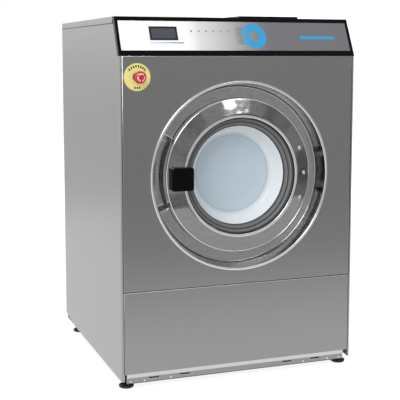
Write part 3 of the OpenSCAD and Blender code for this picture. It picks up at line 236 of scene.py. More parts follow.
def polar(tree: Tree, centre_x: float, centre_z: float) -> tuple[Socket, Socket]:
    """The distance from a point of the front, and the angle about it.

    Args:
        tree: The material's node tree.
        centre_x: The point's X in metres.
        centre_z: The point's Z in metres.

    Returns:
        The distance in metres, and the angle from -pi to pi, 0 to the right.
    """
    x, _, z = object_axes(tree)
    across = add_node(tree, "Math", [x, centre_x], operation="SUBTRACT")
    up = add_node(tree, "Math", [z, centre_z], operation="SUBTRACT")
    squares = [add_node(tree, "Math", [side, side], operation="MULTIPLY") for side in (across, up)]
    square = add_node(tree, "Math", squares, operation="ADD")
    angle = add_node(tree, "Math", [up, across], operation="ARCTAN2")
    return add_node(tree, "Math", [square], operation="SQRT"), angle


def printed(tree: Tree, under: str | Socket, ink: str | Socket, *masks: Socket) -> Socket:
    """Lays ink, or a painted highlight or shade, over a colour where every mask is 1.

    Args:
        tree: The material's node tree.
        under: The colour below, as a hex colour or a socket.
        ink: The colour laid on, as a hex colour or a socket: a print's ink, and for some callers a
            painted highlight or shade.
        masks: Where the ink is, each from 0 to 1.

    Returns:
        The colour with the print, or the painted light, on it.
    """
    where = masks[0]
    for mask in masks[1:]:
        where = add_node(tree, "Math", [where, mask], operation="MULTIPLY")
    below, above = (srgb(colour) if isinstance(colour, str) else colour for colour in (under, ink))
    return add_node(tree, "Mix", {0: where, 6: below, 7: above}, out=2, data_type="RGBA")


def ringed(tree: Tree, under: Socket, rings: tuple[Span, ...], tint: str, soft: float) -> Socket:
    """Colours rings about the door's axis.

    Args:
        tree: The material's node tree.
        under: The colour below.
        rings: The inner and outer radius of each ring, in metres.
        tint: The rings' hex colour.
        soft: Half the width of their soft edges.

    Returns:
        The colour with the rings on it.
    """
    if rings:
        radius, _ = polar(tree, 0.0, DOOR_Z)
        for inner, outer in rings:
            under = printed(tree, under, tint, between(tree, radius, inner, outer, soft))
    return under


@dataclass(frozen=True)
class Finish:
    """What a piece is made of and how its surface was made.

    Patterns read the piece's own coordinates. Their radii and places are in metres, and
    sizes whose names end in _mm are in millimetres.
    """

    name: str

    def look(self, tree: Tree) -> dict[str, object]:
        """Builds the finish's pattern; each kind of finish has its own.

        Args:
            tree: The material's node tree.

        Returns:
            The inputs of its Principled shader.
        """
        raise NotImplementedError

    def material(self) -> bpy.types.Material:
        """Builds the material.

        Returns:
            The material, with a Principled shader.
        """
        material = bpy.data.materials.new(self.name)
        tree = empty_tree(material)
        shader = add_node(tree, "BsdfPrincipled", self.look(tree))
        add_node(tree, "OutputMaterial", [shader])
        return material


@dataclass(frozen=True)
class BrushedSteel(Finish):
    """Stainless steel sheet ground along one axis: fine streaks, a painted highlight on faces that
    look upward, and level stripes of painted shade.
    """

    tint: str
    grain: Axis = Axis.Z
    roughness: float = 0.34
    streak_mm: float = 1.2
    streak_length_mm: float = 250.0
    painted_top_highlight: str | None = None
    painted_shade_bands: tuple[tuple[float, float, str], ...] = ()

    def look(self, tree: Tree) -> dict[str, object]:
        """Builds the streaks, drawn 1.2 mm wide where real ones are 0.1 mm, so that they show.

        Args:
            tree: The material's node tree.

        Returns:
            The inputs of its Principled shader.
        """
        size = [self.streak_mm] * 3
        size[self.grain.value] = self.streak_length_mm
        streaks = object_noise(tree, size, 1.0)
        stops = ((0.3, mix_hex(self.tint, BLACK, 0.015)), (0.7, mix_hex(self.tint, WHITE, 0.01)))
        colour = add_node(tree, "ValToRGB", [streaks], stops=stops)
        # Painted highlight: faces that look upward are made paler, standing in for the light they
        # catch from above.
        if self.painted_top_highlight:
            facing = add_node(tree, "TexCoord", out="Normal")
            upward = add_node(tree, "SeparateXYZ", [facing], out=2)
            edge = add_node(tree, "MapRange", [upward, 0.15, 0.3, 0.0, 1.0])
            colour = printed(tree, colour, self.painted_top_highlight, edge)
        # Painted shade: level stripes of a darker colour, standing in for the shadow in a seam and
        # low down on the plinth.
        height = object_axes(tree)[2]
        for low, high, shade in self.painted_shade_bands:
            colour = printed(tree, colour, shade, between(tree, height, low, high))
        levels = (self.roughness - 0.006, self.roughness + 0.006)
        return {"Metallic": 1.0, "Base Color": colour,
                "Roughness": add_node(tree, "MapRange", [streaks, *NOISE_SPAN, *levels])}


@dataclass(frozen=True)
class PolishedSteel(Finish):
    """Stainless steel pressed and polished: near a mirror, with faint waves, and rims made paler by
    painted highlight.
    """

    tint: str
    roughness: float = 0.09
    wave_mm: float = 60.0
    wave_depth_mm: float = 1.5
    wipe_mm: Point = (20.0, 20.0, 6.0)
    painted_highlight_rings: tuple[Span, ...] = ()
    painted_highlight_tint: str = "#e6e6e6"

    def look(self, tree: Tree) -> dict[str, object]:
        """Builds the waves of the press, the wipe marks and the painted highlight on the rims.

        Args:
            tree: The material's node tree.

        Returns:
            The inputs of its Principled shader.
        """
        waves = object_noise(tree, [self.wave_mm] * 3, 1.0)
        marks = object_noise(tree, self.wipe_mm, 4.0)
        stops = ((0.3, mix_hex(self.tint, BLACK, 0.07)), (0.7, self.tint))
        colour = add_node(tree, "ValToRGB", [marks], stops=stops)
        levels = (self.roughness, self.roughness + 0.05)
        depth = self.wave_depth_mm * MM
        # Painted highlight: paler rings about the door's axis on the rims, standing in for the
        # light they catch.
        return {"Metallic": 1.0,
                "Base Color": ringed(tree, colour, self.painted_highlight_rings, self.painted_highlight_tint, 0.001),
                "Roughness": add_node(tree, "MapRange", [marks, *NOISE_SPAN, *levels]),
                "Normal": add_node(tree, "Bump", {"Height": waves, "Distance": depth})}


@dataclass(frozen=True)
class CastMetal(Finish):
    """Sand-cast metal: a grainy dull skin from the mould."""

    tint: str
    metallic: float = 1.0
    roughness: float = 0.6
    grain_mm: float = 2.0
    grain_depth_mm: float = 0.4

    def look(self, tree: Tree) -> dict[str, object]:
        """Builds the grainy skin.

        Args:
            tree: The material's node tree.

        Returns:
            The inputs of its Principled shader.
        """
        skin = object_noise(tree, [self.grain_mm] * 3, 3.0)
        stops = ((0.3, mix_hex(self.tint, BLACK, 0.15)), (0.7, self.tint))
        levels = (self.roughness + 0.08, self.roughness - 0.05)
        depth = self.grain_depth_mm * MM
        return {"Metallic": self.metallic,
                "Base Color": add_node(tree, "ValToRGB", [skin], stops=stops),
                "Roughness": add_node(tree, "MapRange", [skin, *NOISE_SPAN, *levels]),
                "Normal": add_node(tree, "Bump", {"Height": skin, "Distance": depth})}


@dataclass(frozen=True)
class PaintedSteel(Finish):
    """Steel with baked powder paint: a soft sheen over fine orange peel, and a little soot."""

    tint: str
    roughness: float = 0.5
    peel_mm: float = 3.0
    peel_depth_mm: float = 0.2
    soot_mm: float = 150.0

    def look(self, tree: Tree) -> dict[str, object]:
        """Builds the orange peel, drawn 3 mm wide so that it shows.

        Args:
            tree: The material's node tree.

        Returns:
            The inputs of its Principled shader.
        """
        skin = object_noise(tree, [self.peel_mm] * 3, 1.0)
        soot = object_noise(tree, [self.soot_mm] * 3, 3.0)
        stops = ((0.35, mix_hex(self.tint, BLACK, 0.12)), (0.6, self.tint))
        levels = (self.roughness + 0.06, self.roughness - 0.06)
        depth = self.peel_depth_mm * MM
        return {"Base Color": add_node(tree, "ValToRGB", [soot], stops=stops),
                "Roughness": add_node(tree, "MapRange", [skin, *NOISE_SPAN, *levels]),
                "Normal": add_node(tree, "Bump", {"Height": skin, "Distance": depth})}


@dataclass(frozen=True)
class Galvanised(Finish):
    """Zinc-dipped steel sheet: broad pale spangles that catch the light at different angles."""

    tint: str
    spangle_mm: float = 14.0
    roughness: Span = (0.36, 0.52)

    def look(self, tree: Tree) -> dict[str, object]:
        """Builds the spangles.

        Args:
            tree: The material's node tree.

        Returns:
            The inputs of its Principled shader.
        """
        place = add_node(tree, "TexCoord", out="Object")
        scale = 1 / (self.spangle_mm * MM)
        cells = add_node(tree, "TexVoronoi", {"Vector": place, "Scale": scale}, out="Color")
        grey = add_node(tree, "SeparateColor", [cells])
        stops = ((0.1, mix_hex(self.tint, BLACK, 0.10)), (0.9, mix_hex(self.tint, WHITE, 0.08)))
        return {"Metallic": 1.0,
                "Base Color": add_node(tree, "ValToRGB", [grey], stops=stops),
                "Roughness": add_node(tree, "MapRange", [grey, 0.0, 1.0, *self.roughness])}


@dataclass(frozen=True)
class MouldedPlastic(Finish):
    """Injection-moulded plastic: even colour and the fine grain of an etched mould."""

    tint: str
    roughness: float = 0.45
    grain_mm: float = 0.9
    grain_depth_mm: float = 0.08
    gloss: float = 0.5

    def look(self, tree: Tree) -> dict[str, object]:
        """Builds the mould's grain, drawn 0.9 mm wide so that it shows.

        Args:
            tree: The material's node tree.

        Returns:
            The inputs of its Principled shader.
        """
        skin = object_noise(tree, [self.grain_mm] * 3, 2.0)
        levels = (self.roughness - 0.05, self.roughness + 0.07)
        depth = self.grain_depth_mm * MM
        return {"Base Color": srgb(self.tint), "IOR": 1.5, "Specular IOR Level": self.gloss,
                "Roughness": add_node(tree, "MapRange", [skin, *NOISE_SPAN, *levels]),
                "Normal": add_node(tree, "Bump", {"Height": skin, "Distance": depth})}


@dataclass(frozen=True)
class Rubber(Finish):
    """Moulded rubber: deep matt colour with a dusty bloom, and paler rings over its ribs."""

    tint: str
    bloom_mm: float = 25.0
    roughness: Span = (0.55, 0.75)
    ribs: tuple[Span, ...] = ()
    rib_tint: str = "#77787a"

    def look(self, tree: Tree) -> dict[str, object]:
        """Builds the blots of bloom and the pale ribs.

        Args:
            tree: The material's node tree.

        Returns:
            The inputs of its Principled shader.
        """
        bloom = object_noise(tree, [self.bloom_mm] * 3, 4.0)
        stops = ((0.35, self.tint), (0.75, mix_hex(self.tint, "#808080", 0.10)))
        colour = add_node(tree, "ValToRGB", [bloom], stops=stops)
        return {"Base Color": ringed(tree, colour, self.ribs, self.rib_tint, 0.0008),
                "Roughness": add_node(tree, "MapRange", [bloom, *NOISE_SPAN, *self.roughness])}


@dataclass(frozen=True)
class WindowGlass(Finish):
    """Pressed borosilicate glass: clear in its flat bottom, and near white across its wall, a
    painted reflection where the wall is seen edgeways.
    """

    tint: str
    painted_reflection_tint: str
    share: Span = (0.88, 0.94)
    wall_r: Span = (0.120, 0.152)

    def look(self, tree: Tree) -> dict[str, object]:
        """Builds the change of tint, with painted reflection across the wall; the drum shows
        through as far as the alpha lets it.

        Args:
            tree: The material's node tree.

        Returns:
            The inputs of its Principled shader.
        """
        radius, _ = polar(tree, 0.0, DOOR_Z)
        edge = add_node(tree, "MapRange", [radius, *self.wall_r, 0.0, 1.0])
        # Painted reflection: the tint turns near white across the bowl's wall.
        stops = ((0.0, self.tint), (0.2, self.tint), (0.36, mix_hex(self.tint, BLACK, 0.06)),
                 (0.62, mix_hex(self.tint, self.painted_reflection_tint, 0.75)), (1.0, self.painted_reflection_tint))
        return {"Base Color": add_node(tree, "ValToRGB", [edge], stops=stops),
                "Alpha": add_node(tree, "MapRange", [edge, 0.0, 1.0, *self.share]),
                "Roughness": 0.03, "IOR": 1.47}


@dataclass(frozen=True)
class FasciaPrint(Finish):
    """A polyester overlay printed on its back: white that turns grey, small marks, dotted disc.

    Places are in metres, across from the machine's middle and up from the fascia's foot.
    """

    ink: str = "#2b9fd8"
    roughness: float = 0.3
    grey_span: Span = (-0.2, 0.12)
    disc: Span = (0.058, 0.066)
    disc_r: Span = (0.017, 0.042)
    tail: Span = (-0.0672, -0.0252)
    tail_up: Span = (-0.028, 0.03)
    dot_pitch: float = 0.0062
    dot_span: Span = (-0.0714, 0.0126)
    dot_reach: Span = (0.25, 0.8)
    marks: Span = (-0.164, 0.081)
    mark_pitch: float = 0.026
    mark_count: int = 6
    mark_r: float = 0.0036
    bar: tuple[Span, Span] = ((0.225, 0.357), (0.057, 0.067))
    line: tuple[Span, Span] = ((-0.313, -0.196), (0.0405, 0.0445))

    def dots(self, tree: Tree, foot: float) -> tuple[Socket, Socket]:
        """Builds the dotted disc, whose dots shrink to its left and run out in a tail.

        Args:
            tree: The material's node tree.
            foot: The Z of the fascia's foot.

        Returns:
            The masks of the dots, and of the disc with its tail.
        """
        middle, up = self.disc[0], foot + self.disc[1]
        x, _, z = object_axes(tree)
        radius, _ = polar(tree, middle, up)
        cells = add_node(tree, "TexVoronoi", {
            "Vector": add_node(tree, "CombineXYZ", [x, z]), "Scale": 1 / self.dot_pitch,
            "Randomness": 0.0}, out="Distance", voronoi_dimensions="2D")
        edges = [middle + side for side in self.dot_span]
        reach = add_node(tree, "MapRange", [x, *edges, *self.dot_reach])
        dot = add_node(tree, "Math", [cells, reach], operation="LESS_THAN")
        tail = add_node(tree, "Math", [
            between(tree, x, middle + self.tail[0], middle + self.tail[1]),
            between(tree, z, up + self.tail_up[0], up + self.tail_up[1])], operation="MULTIPLY")
        disc = between(tree, radius, *self.disc_r)
        return dot, add_node(tree, "Math", [disc, tail], operation="MAXIMUM")

    def look(self, tree: Tree) -> dict[str, object]:
        """Builds the print as it lies on the sloping plate.

        Args:
            tree: The material's node tree.

        Returns:
            The inputs of its Principled shader.
        """
        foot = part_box("fascia_frame")[0].z
        x, _, z = object_axes(tree)
        share = add_node(tree, "MapRange", [x, *self.grey_span, 0.0, 1.0])
        colour = add_node(tree, "ValToRGB", [share], stops=(
            (0.0, WHITE), (0.12, "#f2f2f2"), (0.19, "#e0e0df"), (0.46, "#c2c1c1"),
            (0.7, "#98979a"), (0.9, "#78777c"), (1.0, "#717075")))
        turn = [self.disc[0] - 0.05, self.disc[0] - 0.036]
        ink = printed(tree, "#6d7076", self.ink, add_node(tree, "MapRange", [x, *turn, 0.0, 1.0]))
        colour = printed(tree, colour, ink, *self.dots(tree, foot))
        for k in range(self.mark_count):
            start, up = self.marks
            radius, _ = polar(tree, start + k * self.mark_pitch, foot + up)
            mark = between(tree, radius, -self.mark_r, self.mark_r)
            colour = printed(tree, colour, "#9c9c9f", mark)
        share = add_node(tree, "MapRange", [x, *self.line[0], 0.0, 1.0])
        fading = add_node(tree, "ValToRGB", [share], stops=(
            (0.0, "#d9dcde"), (0.5, "#8fc4dd"), (1.0, "#2a7fb0")))
        for (across, height), ink in ((self.bar, self.ink), (self.line, fading)):
            rows = [foot + up for up in height]
            colour = printed(tree, colour, ink, between(tree, x, *across), between(tree, z, *rows))
        return {"Base Color": colour, "Roughness": self.roughness}


@dataclass(frozen=True)
class LegendPrint(Finish):
    """A pale yellow plate darkened at its rim by painted shade, and two arcs of dark strokes in
    place of words.
    """

    tint: str
    painted_rim_shade: str = "#5c5630"
    ink: str = "#332f12"
    roughness: float = 0.4
    rim_r: float = 0.0435
    strokes: Span = (0.0305, 0.0385)
    stroke_count: float = 27.0
    gap_level: float = -0.25
    arcs: tuple[Span, Span] = ((32.0, 148.0), (-108.0, -72.0))

    def look(self, tree: Tree) -> dict[str, object]:
        """Builds the painted shade at the rim, and the strokes.

        Args:
            tree: The material's node tree.

        Returns:
            The inputs of its Principled shader.
        """
        low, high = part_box("estop_legend_plate")
        radius, angle = polar(tree, (low.x + high.x) / 2, (low.z + high.z) / 2)
        edge = [self.rim_r - 0.001, self.rim_r + 0.001]
        # Painted shade: beyond the rim's radius the plate is darkened, standing in for the shadow
        # at its edge.
        rim = add_node(tree, "MapRange", [radius, *edge, 0.0, 1.0])
        colour = printed(tree, self.tint, mix_hex(self.tint, self.painted_rim_shade, 0.35), rim)
        turns = add_node(tree, "Math", [angle, self.stroke_count], operation="MULTIPLY")
        wave = add_node(tree, "Math", [turns], operation="SINE")
        strokes = add_node(tree, "Math", [wave, self.gap_level], operation="GREATER_THAN")
        arcs = [between(tree, angle, *map(math.radians, arc), 0.02) for arc in self.arcs]
        masks = [strokes, add_node(tree, "Math", arcs, operation="ADD"),
                 between(tree, radius, *self.strokes)]
        return {"Base Color": printed(tree, colour, self.ink, *masks), "Roughness": self.roughness}


@dataclass(frozen=True)
class ButtonPrint(Finish):
    """Glossy red acetal with a ring of pale turning arrows printed on the dome."""

    tint: str
    ink: str = "#f2b9b9"
    roughness: float = 0.22
    arrows: Span = (0.0085, 0.0135)
    arrow_count: float = 3.0
    gap_level: float = 0.82

    def look(self, tree: Tree) -> dict[str, object]:
        """Builds the ring of arrows.

        Args:
            tree: The material's node tree.

        Returns:
            The inputs of its Principled shader.
        """
        low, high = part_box("estop_button")
        radius, angle = polar(tree, (low.x + high.x) / 2, (low.z + high.z) / 2)
        turns = add_node(tree, "Math", [angle, self.arrow_count], operation="MULTIPLY")
        wave = add_node(tree, "Math", [turns], operation="SINE")
        arrows = add_node(tree, "Math", [wave, self.gap_level], operation="LESS_THAN")
        ring = between(tree, radius, *self.arrows)
        return {"Base Color": printed(tree, self.tint, self.ink, ring, arrows),
                "Roughness": self.roughness}


@dataclass(frozen=True)
class ScreenGlass(Finish):
    """A display's cover glass: a dim grey picture area inside a black printed border."""

    tint: str
    border: str = "#1d1e22"
    border_mm: float = 7.0
    roughness: float = 0.08

    def look(self, tree: Tree) -> dict[str, object]:
        """Builds the border.

        Args:
            tree: The material's node tree.

        Returns:
            The inputs of its Principled shader.
        """
        low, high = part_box("display_screen")
        x, _, z = object_axes(tree)
        edge = self.border_mm * MM
        columns = between(tree, x, low.x + edge, high.x - edge)
        rows = between(tree, z, low.z + edge, high.z - edge)
        return {"Base Color": printed(tree, self.border, self.tint, columns, rows),
                "Roughness": self.roughness}


# Both sheets get a painted highlight on faces that look upward; the side sheet also gets a dark
# painted shadow line along its seam with the top panel.
PANEL_SIDE = BrushedSteel("brushed stainless side sheet", "#a3a3a4", painted_top_highlight="#d2d2d2",
                          painted_shade_bands=((SEAM_Z - 0.0016, SEAM_Z + 0.0016, "#3a3a3b"),))
# The front sheet is tinted a little darker than the side sheet, though both are the same stainless:
# painted shade on the front.
PANEL_FRONT = BrushedSteel("brushed stainless front sheet", "#9a9a9b", painted_top_highlight="#f2f2f2")
POLISHED = PolishedSteel("polished stainless pressing", "#cfcfcf")
DRUM_STEEL = PolishedSteel("rolled stainless drum sheet", "#d6dade", roughness=0.22)
# Painted highlight rings: the dish's outer rim and neck, and the ring's bead and rolled edge.
SURROUND_STEEL = PolishedSteel("bright-rolled stainless dish", "#b2b2b4", roughness=0.16,
                               painted_highlight_rings=((0.303, 0.33), (0.2, 0.214)))
RING_STEEL = PolishedSteel("mirror-polished stainless ring", "#88888a", roughness=0.06,
                           painted_highlight_rings=((0.19, 0.2055), (0.2575, 0.27)))
# The plinth darkens towards the floor in two steps of painted shade.
PLINTH_STEEL = BrushedSteel("pale stainless channel", "#d2d2d4", grain=Axis.X,
                            painted_shade_bands=((0.0, 0.0345, "#98989a"), (0.0, 0.0185, "#5c5c5e")))
ZINC = Galvanised("zinc-dipped sheet", "#c4c6c8")
BRIGHT = PolishedSteel("bright zinc-plated steel", "#d2d2d0", roughness=0.2)
FRAME_PAINT = PaintedSteel("dark powder-painted steel", "#3a3b3d")
IRON = CastMetal("grey cast iron", "#4a4b4d", metallic=0.6)
ALUMINIUM = CastMetal("sand-cast aluminium", "#a9abad", roughness=0.45)
GLOSS_BLACK = MouldedPlastic("gloss black ABS", "#050506", roughness=0.2, grain_depth_mm=0.01,
                             gloss=0.1)
SATIN_BLACK = MouldedPlastic("satin black glass-filled nylon", "#0b0b0c", roughness=0.34,
                             gloss=0.3)
WHITE_PLASTIC = MouldedPlastic("white polypropylene", "#dfe1e0", roughness=0.5)
GREY_PLASTIC = MouldedPlastic("grey PVC", "#77797b", roughness=0.45)
PLATE = FasciaPrint("printed polyester overlay")
SCREEN = ScreenGlass("display cover glass", "#484b54")
YELLOW = LegendPrint("pale yellow legend plate", "#f4ea96")
RED = ButtonPrint("red acetal mushroom", "#c81f30")
BLACK_RUBBER = Rubber("black nitrile rubber", "#1b1b1c")
GREY_RUBBER = Rubber("grey door seal rubber", "#4a4b4c")
GASKET_RUBBER = Rubber("grey window gasket rubber", "#343536",
                       ribs=((0.1705, 0.179), (0.1835, 0.19)))
GLASS = WindowGlass("borosilicate window bowl", "#ccdbe6", "#f2f7fa")


def at(x: float, depth: float, up: float) -> Vector:
    """A point given in millimetres from where the door's axis meets the front panel."""
    return Vector((x * MM, FRONT_Y + depth * MM, DOOR_Z + up * MM))


def select_only(*pieces: Object) -> None:
    """Selects these objects and nothing else, and makes the first one active.

    Args:
        pieces: The objects.
    """
    bpy.ops.object.select_all(action="DESELECT")
    for piece in pieces:
        piece.select_set(True)
    bpy.context.view_layer.objects.active = pieces[0]


@contextmanager
def editing(piece: Object, element: Element = Element.VERT) -> Iterator[bmesh.types.BMesh]:
    """Opens a piece in edit mode with nothing selected, and closes it at the end.

    Args:
        piece: The object to edit.
        element: What is selected.

    Yields:
        The edit mesh, for selecting by place.
    """
    select_only(piece)
    bpy.ops.object.mode_set(mode="EDIT")
    bpy.ops.mesh.select_mode(type=element.name)
    bpy.ops.mesh.select_all(action="DESELECT")
    yield bmesh.from_edit_mesh(piece.data)
    bpy.ops.object.mode_set(mode="OBJECT")


def choose(piece: Object, mesh: bmesh.types.BMesh, kind: Element, test: Callable) -> None:
    """Selects the vertices, edges or faces that pass a test.

    Args:
        piece: The object in edit mode.
        mesh: Its edit mesh.
        kind: What is selected.
        test: Says whether an element is selected.
    """
    for element in getattr(mesh, kind.value):
        element.select_set(bool(test(element)))
    mesh.select_flush_mode()
    bmesh.update_edit_mesh(piece.data)


def apply_modifier(piece: Object, kind: str, **settings: object) -> None:
    """Adds a modifier to a piece, sets it up and applies it.

    Args:
        piece: The object.
        kind: The modifier's type name.
        settings: The modifier's own properties.
    """
    select_only(piece)
    modifier = piece.modifiers.new(kind.lower(), kind)
    for name, value in settings.items():
        setattr(modifier, name, value)
    bpy.ops.object.modifier_apply(modifier=modifier.name)


def settle(piece: Object, name: str, smooth_angle: float = 32.0) -> Object:
    """Names a piece, brings its place into its mesh and shades it, its flat faces kept flat.

    Args:
        piece: The object.
        name: Its new name.
        smooth_angle: Edges flatter than this, in degrees, are shaded smooth.

    Returns:
        The same object.
    """
    select_only(piece)
    bpy.ops.object.transform_apply(location=True, rotation=True, scale=True)
    bpy.ops.object.shade_smooth_by_angle(angle=math.radians(smooth_angle))
    apply_modifier(piece, "WEIGHTED_NORMAL", keep_sharp=True)
    piece.name = piece.data.name = name
    return piece


def face_outwards(piece: Object) -> None:
    """Merges a closed mesh's doubles and turns its faces outwards.

    Args:
        piece: The object.
    """
    with editing(piece):
        bpy.ops.mesh.select_all(action="SELECT")
        bpy.ops.mesh.remove_doubles(threshold=DOUBLES)
        bpy.ops.mesh.normals_make_consistent(inside=False)


def chain(points: list[Vector]) -> Object:
    """Makes a chain of edges by extruding one vertex from point to point.

    Args:
        points: The points.

    Returns:
        The chain.
    """
    bpy.ops.mesh.primitive_plane_add(size=0.01, location=(0, 0, 0))
    piece = bpy.context.object
    with editing(piece):
        bpy.ops.mesh.select_all(action="SELECT")
        bpy.ops.mesh.merge(type="CENTER")
        bpy.ops.transform.translate(value=points[0])
        for last, point in zip(points, points[1:]):
            bpy.ops.mesh.extrude_region_move(TRANSFORM_OT_translate={"value": point - last})
    return piece


def rounded(path: Section | list[tuple], steps: int = 5) -> Outline:
    """Rounds the corners of a path.

    Args:
        path: Points, of which a third value is the corner's radius.
        steps: How many edges a rounded corner gets.

    Returns:
        The path's points, with arcs for its rounded corners.
    """
    points: Outline = [tuple(path[0][:2])]
    for before, here, after in zip(path, path[1:], path[2:]):
        corner = Vector(here[:2])
        if len(here) < 3:
            points.append(tuple(corner))
            continue
        back = (Vector(before[:2]) - corner).normalized()
        ahead = (Vector(after[:2]) - corner).normalized()
        half = back.angle(ahead) / 2
        middle = corner + (back + ahead).normalized() * here[2] / math.sin(half)
        start = corner + back * here[2] / math.tan(half) - middle
        end = corner + ahead * here[2] / math.tan(half) - middle
        sweep = start.angle_signed(end)
        for i in range(steps + 1):
            spoke = start.copy()
            spoke.rotate(Matrix.Rotation(-sweep * i / steps, 2))
            points.append(tuple(middle + spoke))
    points.append(tuple(path[-1][:2]))
    return points


def walled(path: Outline, thickness: float) -> Outline:
    """The outline of sheet that lies along a path.

    Args:
        path: The points of one side of the sheet.
        thickness: The sheet's thickness: positive to the path's left, negative to its right.

    Returns:
        The closed outline of the sheet's section.
    """
    ways = [(Vector(end) - Vector(start)).normalized() for start, end in zip(path, path[1:])]
    normals = [Vector((-way.y, way.x)) for way in ways]
    normals = [normals[0], *normals, normals[-1]]
    other = []
    for i in reversed(range(len(path))):
        before, after = normals[i], normals[i + 1]
        step = (before + after) * thickness / (1 + before.dot(after))
        other.append(tuple(Vector(path[i]) + step))
    return list(path) + other


def turned(name: str, outline: Outline, steps: int, centre: Vector | None = None,
           axis: Axis = Axis.Y, smooth_angle: float = 32.0) -> Object:
    """Turns a closed outline about an axis.

    Args:
        name: The piece's name.
        outline: Points of radius and place along the axis, in millimetres. For the Y axis
            the place is the depth behind the front panel.
        steps: How many facets a full turn has.
        centre: A point on the axis, or None for the door's axis.
        axis: Y for the door's direction, Z for upright pieces.
        smooth_angle: Edges flatter than this, in degrees, are shaded smooth.

    Returns:
        The turned piece.
    """
    middle = centre or at(0, 0, 0)
    outline = [(r if r > 1.0 else 0.0, along) for r, along in outline]
    # An outline that meets the axis is left open there, so that no edge lies along the axis.
    on_axis = [i for i in range(1, len(outline)) if outline[i - 1][0] == outline[i][0] == 0.0]
    cut = on_axis[0] if on_axis else 0
    loop = outline[cut:] + outline[:cut or 1]
    direction = Vector((0, 1, 0)) if axis is Axis.Y else Vector((0, 0, 1))
    piece = chain([middle + (Vector((r, 0, 0)) + direction * along) * MM for r, along in loop])
    with editing(piece):
        bpy.ops.mesh.select_all(action="SELECT")
        bpy.ops.mesh.spin(steps=steps, angle=FULL_TURN, center=middle, axis=direction)
    face_outwards(piece)
    return settle(piece, name, smooth_angle)


def cut_boxes(piece: Object, boxes: list[tuple[Vector, Vector]]) -> None:
    """Cuts boxes out of a piece and shades it again.

    Args:
        piece: The object.
        boxes: The lowest and highest corner of each box.
    """
    for low, high in boxes:
        size = high - low
        bpy.ops.mesh.primitive_cube_add(size=1, location=low + size / 2, scale=size)
        tool = bpy.context.object
        apply_modifier(piece, "BOOLEAN", operation="DIFFERENCE", object=tool, solver="EXACT")
        bpy.data.objects.remove(tool)
    settle(piece, piece.name, 40)


def extruded(name: str, points: list[Vector], along: Vector) -> Object:
    """Makes a solid by extruding a closed outline.

    Args:
        name: The piece's name.
        points: The outline's points.
        along: The way it is extruded.

    Returns:
        The solid.
    """
    piece = chain(points + points[:1])
    with editing(piece):
        bpy.ops.mesh.select_all(action="SELECT")
        bpy.ops.mesh.remove_doubles(threshold=DOUBLES)
        bpy.ops.mesh.edge_face_add()
        bpy.ops.mesh.extrude_region_move(TRANSFORM_OT_translate={"value": along})
    face_outwards(piece)
    return settle(piece, name)


def copied(node: str) -> Object:
    """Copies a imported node, with its doubles merged and its flat faces whole.

    Args:
        node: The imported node.

    Returns:
        The loose copy.
    """
    source = frame["nodes"][node]
    piece = source.copy()
    piece.data = source.data.copy()
    piece.data.materials.clear()
    piece.parent = None
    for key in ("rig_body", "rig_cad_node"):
        piece.pop(key, None)
    bpy.context.scene.collection.objects.link(piece)
    with editing(piece):
        bpy.ops.mesh.select_all(action="SELECT")
        bpy.ops.mesh.remove_doubles(threshold=CAD_DOUBLES)
        bpy.ops.mesh.dissolve_limited(angle_limit=math.radians(1.0))
    return piece


def softened(node: str, name: str, edge_mm: float) -> Object:
    """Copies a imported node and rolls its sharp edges, as pressed, cast or moulded edges are.

    Args:
        node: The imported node.
        name: The new piece's name.
        edge_mm: The radius of the rolled edges.

    Returns:
        The copy, which replaces the node.
    """
    piece = copied(node)
    apply_modifier(piece, "BEVEL", limit_method="ANGLE", angle_limit=math.radians(35),
                   width=edge_mm * MM, segments=2, miter_outer="MITER_ARC")
    return settle(piece, name)


def solid_boxes(node: str) -> list[tuple[Vector, Vector]]:
    """The boxes of a node's separate solids, from the lowest to the highest.

    Args:
        node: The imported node.

    Returns:
        The lowest and highest corner of each solid.
    """
    mesh = bmesh.new()
    mesh.from_mesh(frame["nodes"][node].data)
    bmesh.ops.remove_doubles(mesh, verts=mesh.verts, dist=CAD_DOUBLES)
    left, boxes = set(mesh.verts), []
    while left:
        stack, seen = [left.pop()], []
        while stack:
            vertex = stack.pop()
            seen.append(vertex.co.copy())
            near = {edge.other_vert(vertex) for edge in vertex.link_edges} & left
            left -= near
            stack.extend(near)
        boxes.append(tuple(Vector([pick(c[i] for c in seen) for i in range(3)])
                           for pick in (min, max)))
    mesh.free()
    return sorted(boxes, key=lambda box: (round(box[0].z, 3), -box[0].x))


class Machine:
    """The finished pieces of the machine, each with its body, nodes and material."""

    def __init__(self) -> None:
        """Starts with no materials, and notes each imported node's body and slot."""
        self.materials: dict[str, bpy.types.Material] = {}
        bodies = frame["record"]["behaviour"]["bodies"]
        self.body_of = {node: body for body, nodes in bodies.items() for node in nodes}
        subparts = frame["record"]["subparts"]
        self.slot_of = {part["node"]: part["material_slot"] for part in subparts}

    def add(self, piece: Object, finish: Finish, *nodes: str, slot: str | None = None,
            body: str | None = None, blend: tuple[Vector, Vector] | None = None) -> None:
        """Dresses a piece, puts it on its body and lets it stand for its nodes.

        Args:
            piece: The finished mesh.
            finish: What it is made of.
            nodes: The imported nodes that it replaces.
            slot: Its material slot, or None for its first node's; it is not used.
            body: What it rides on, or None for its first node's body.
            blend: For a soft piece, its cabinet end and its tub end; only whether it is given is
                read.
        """
        if finish.name not in self.materials:
            self.materials[finish.name] = finish.material()
        piece.data.materials.clear()
        piece.data.materials.append(self.materials[finish.name])
        if blend:
            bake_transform(piece)
        else:
            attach(piece, body or self.body_of[nodes[0]])
        if nodes:
            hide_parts(*nodes)
        log.info("%-28s %7d faces  %s", piece.name, len(piece.data.polygons), finish.name)


@dataclass
class SubAssembly:
    """A group of pieces that is built as one, for a machine."""

    machine: Machine


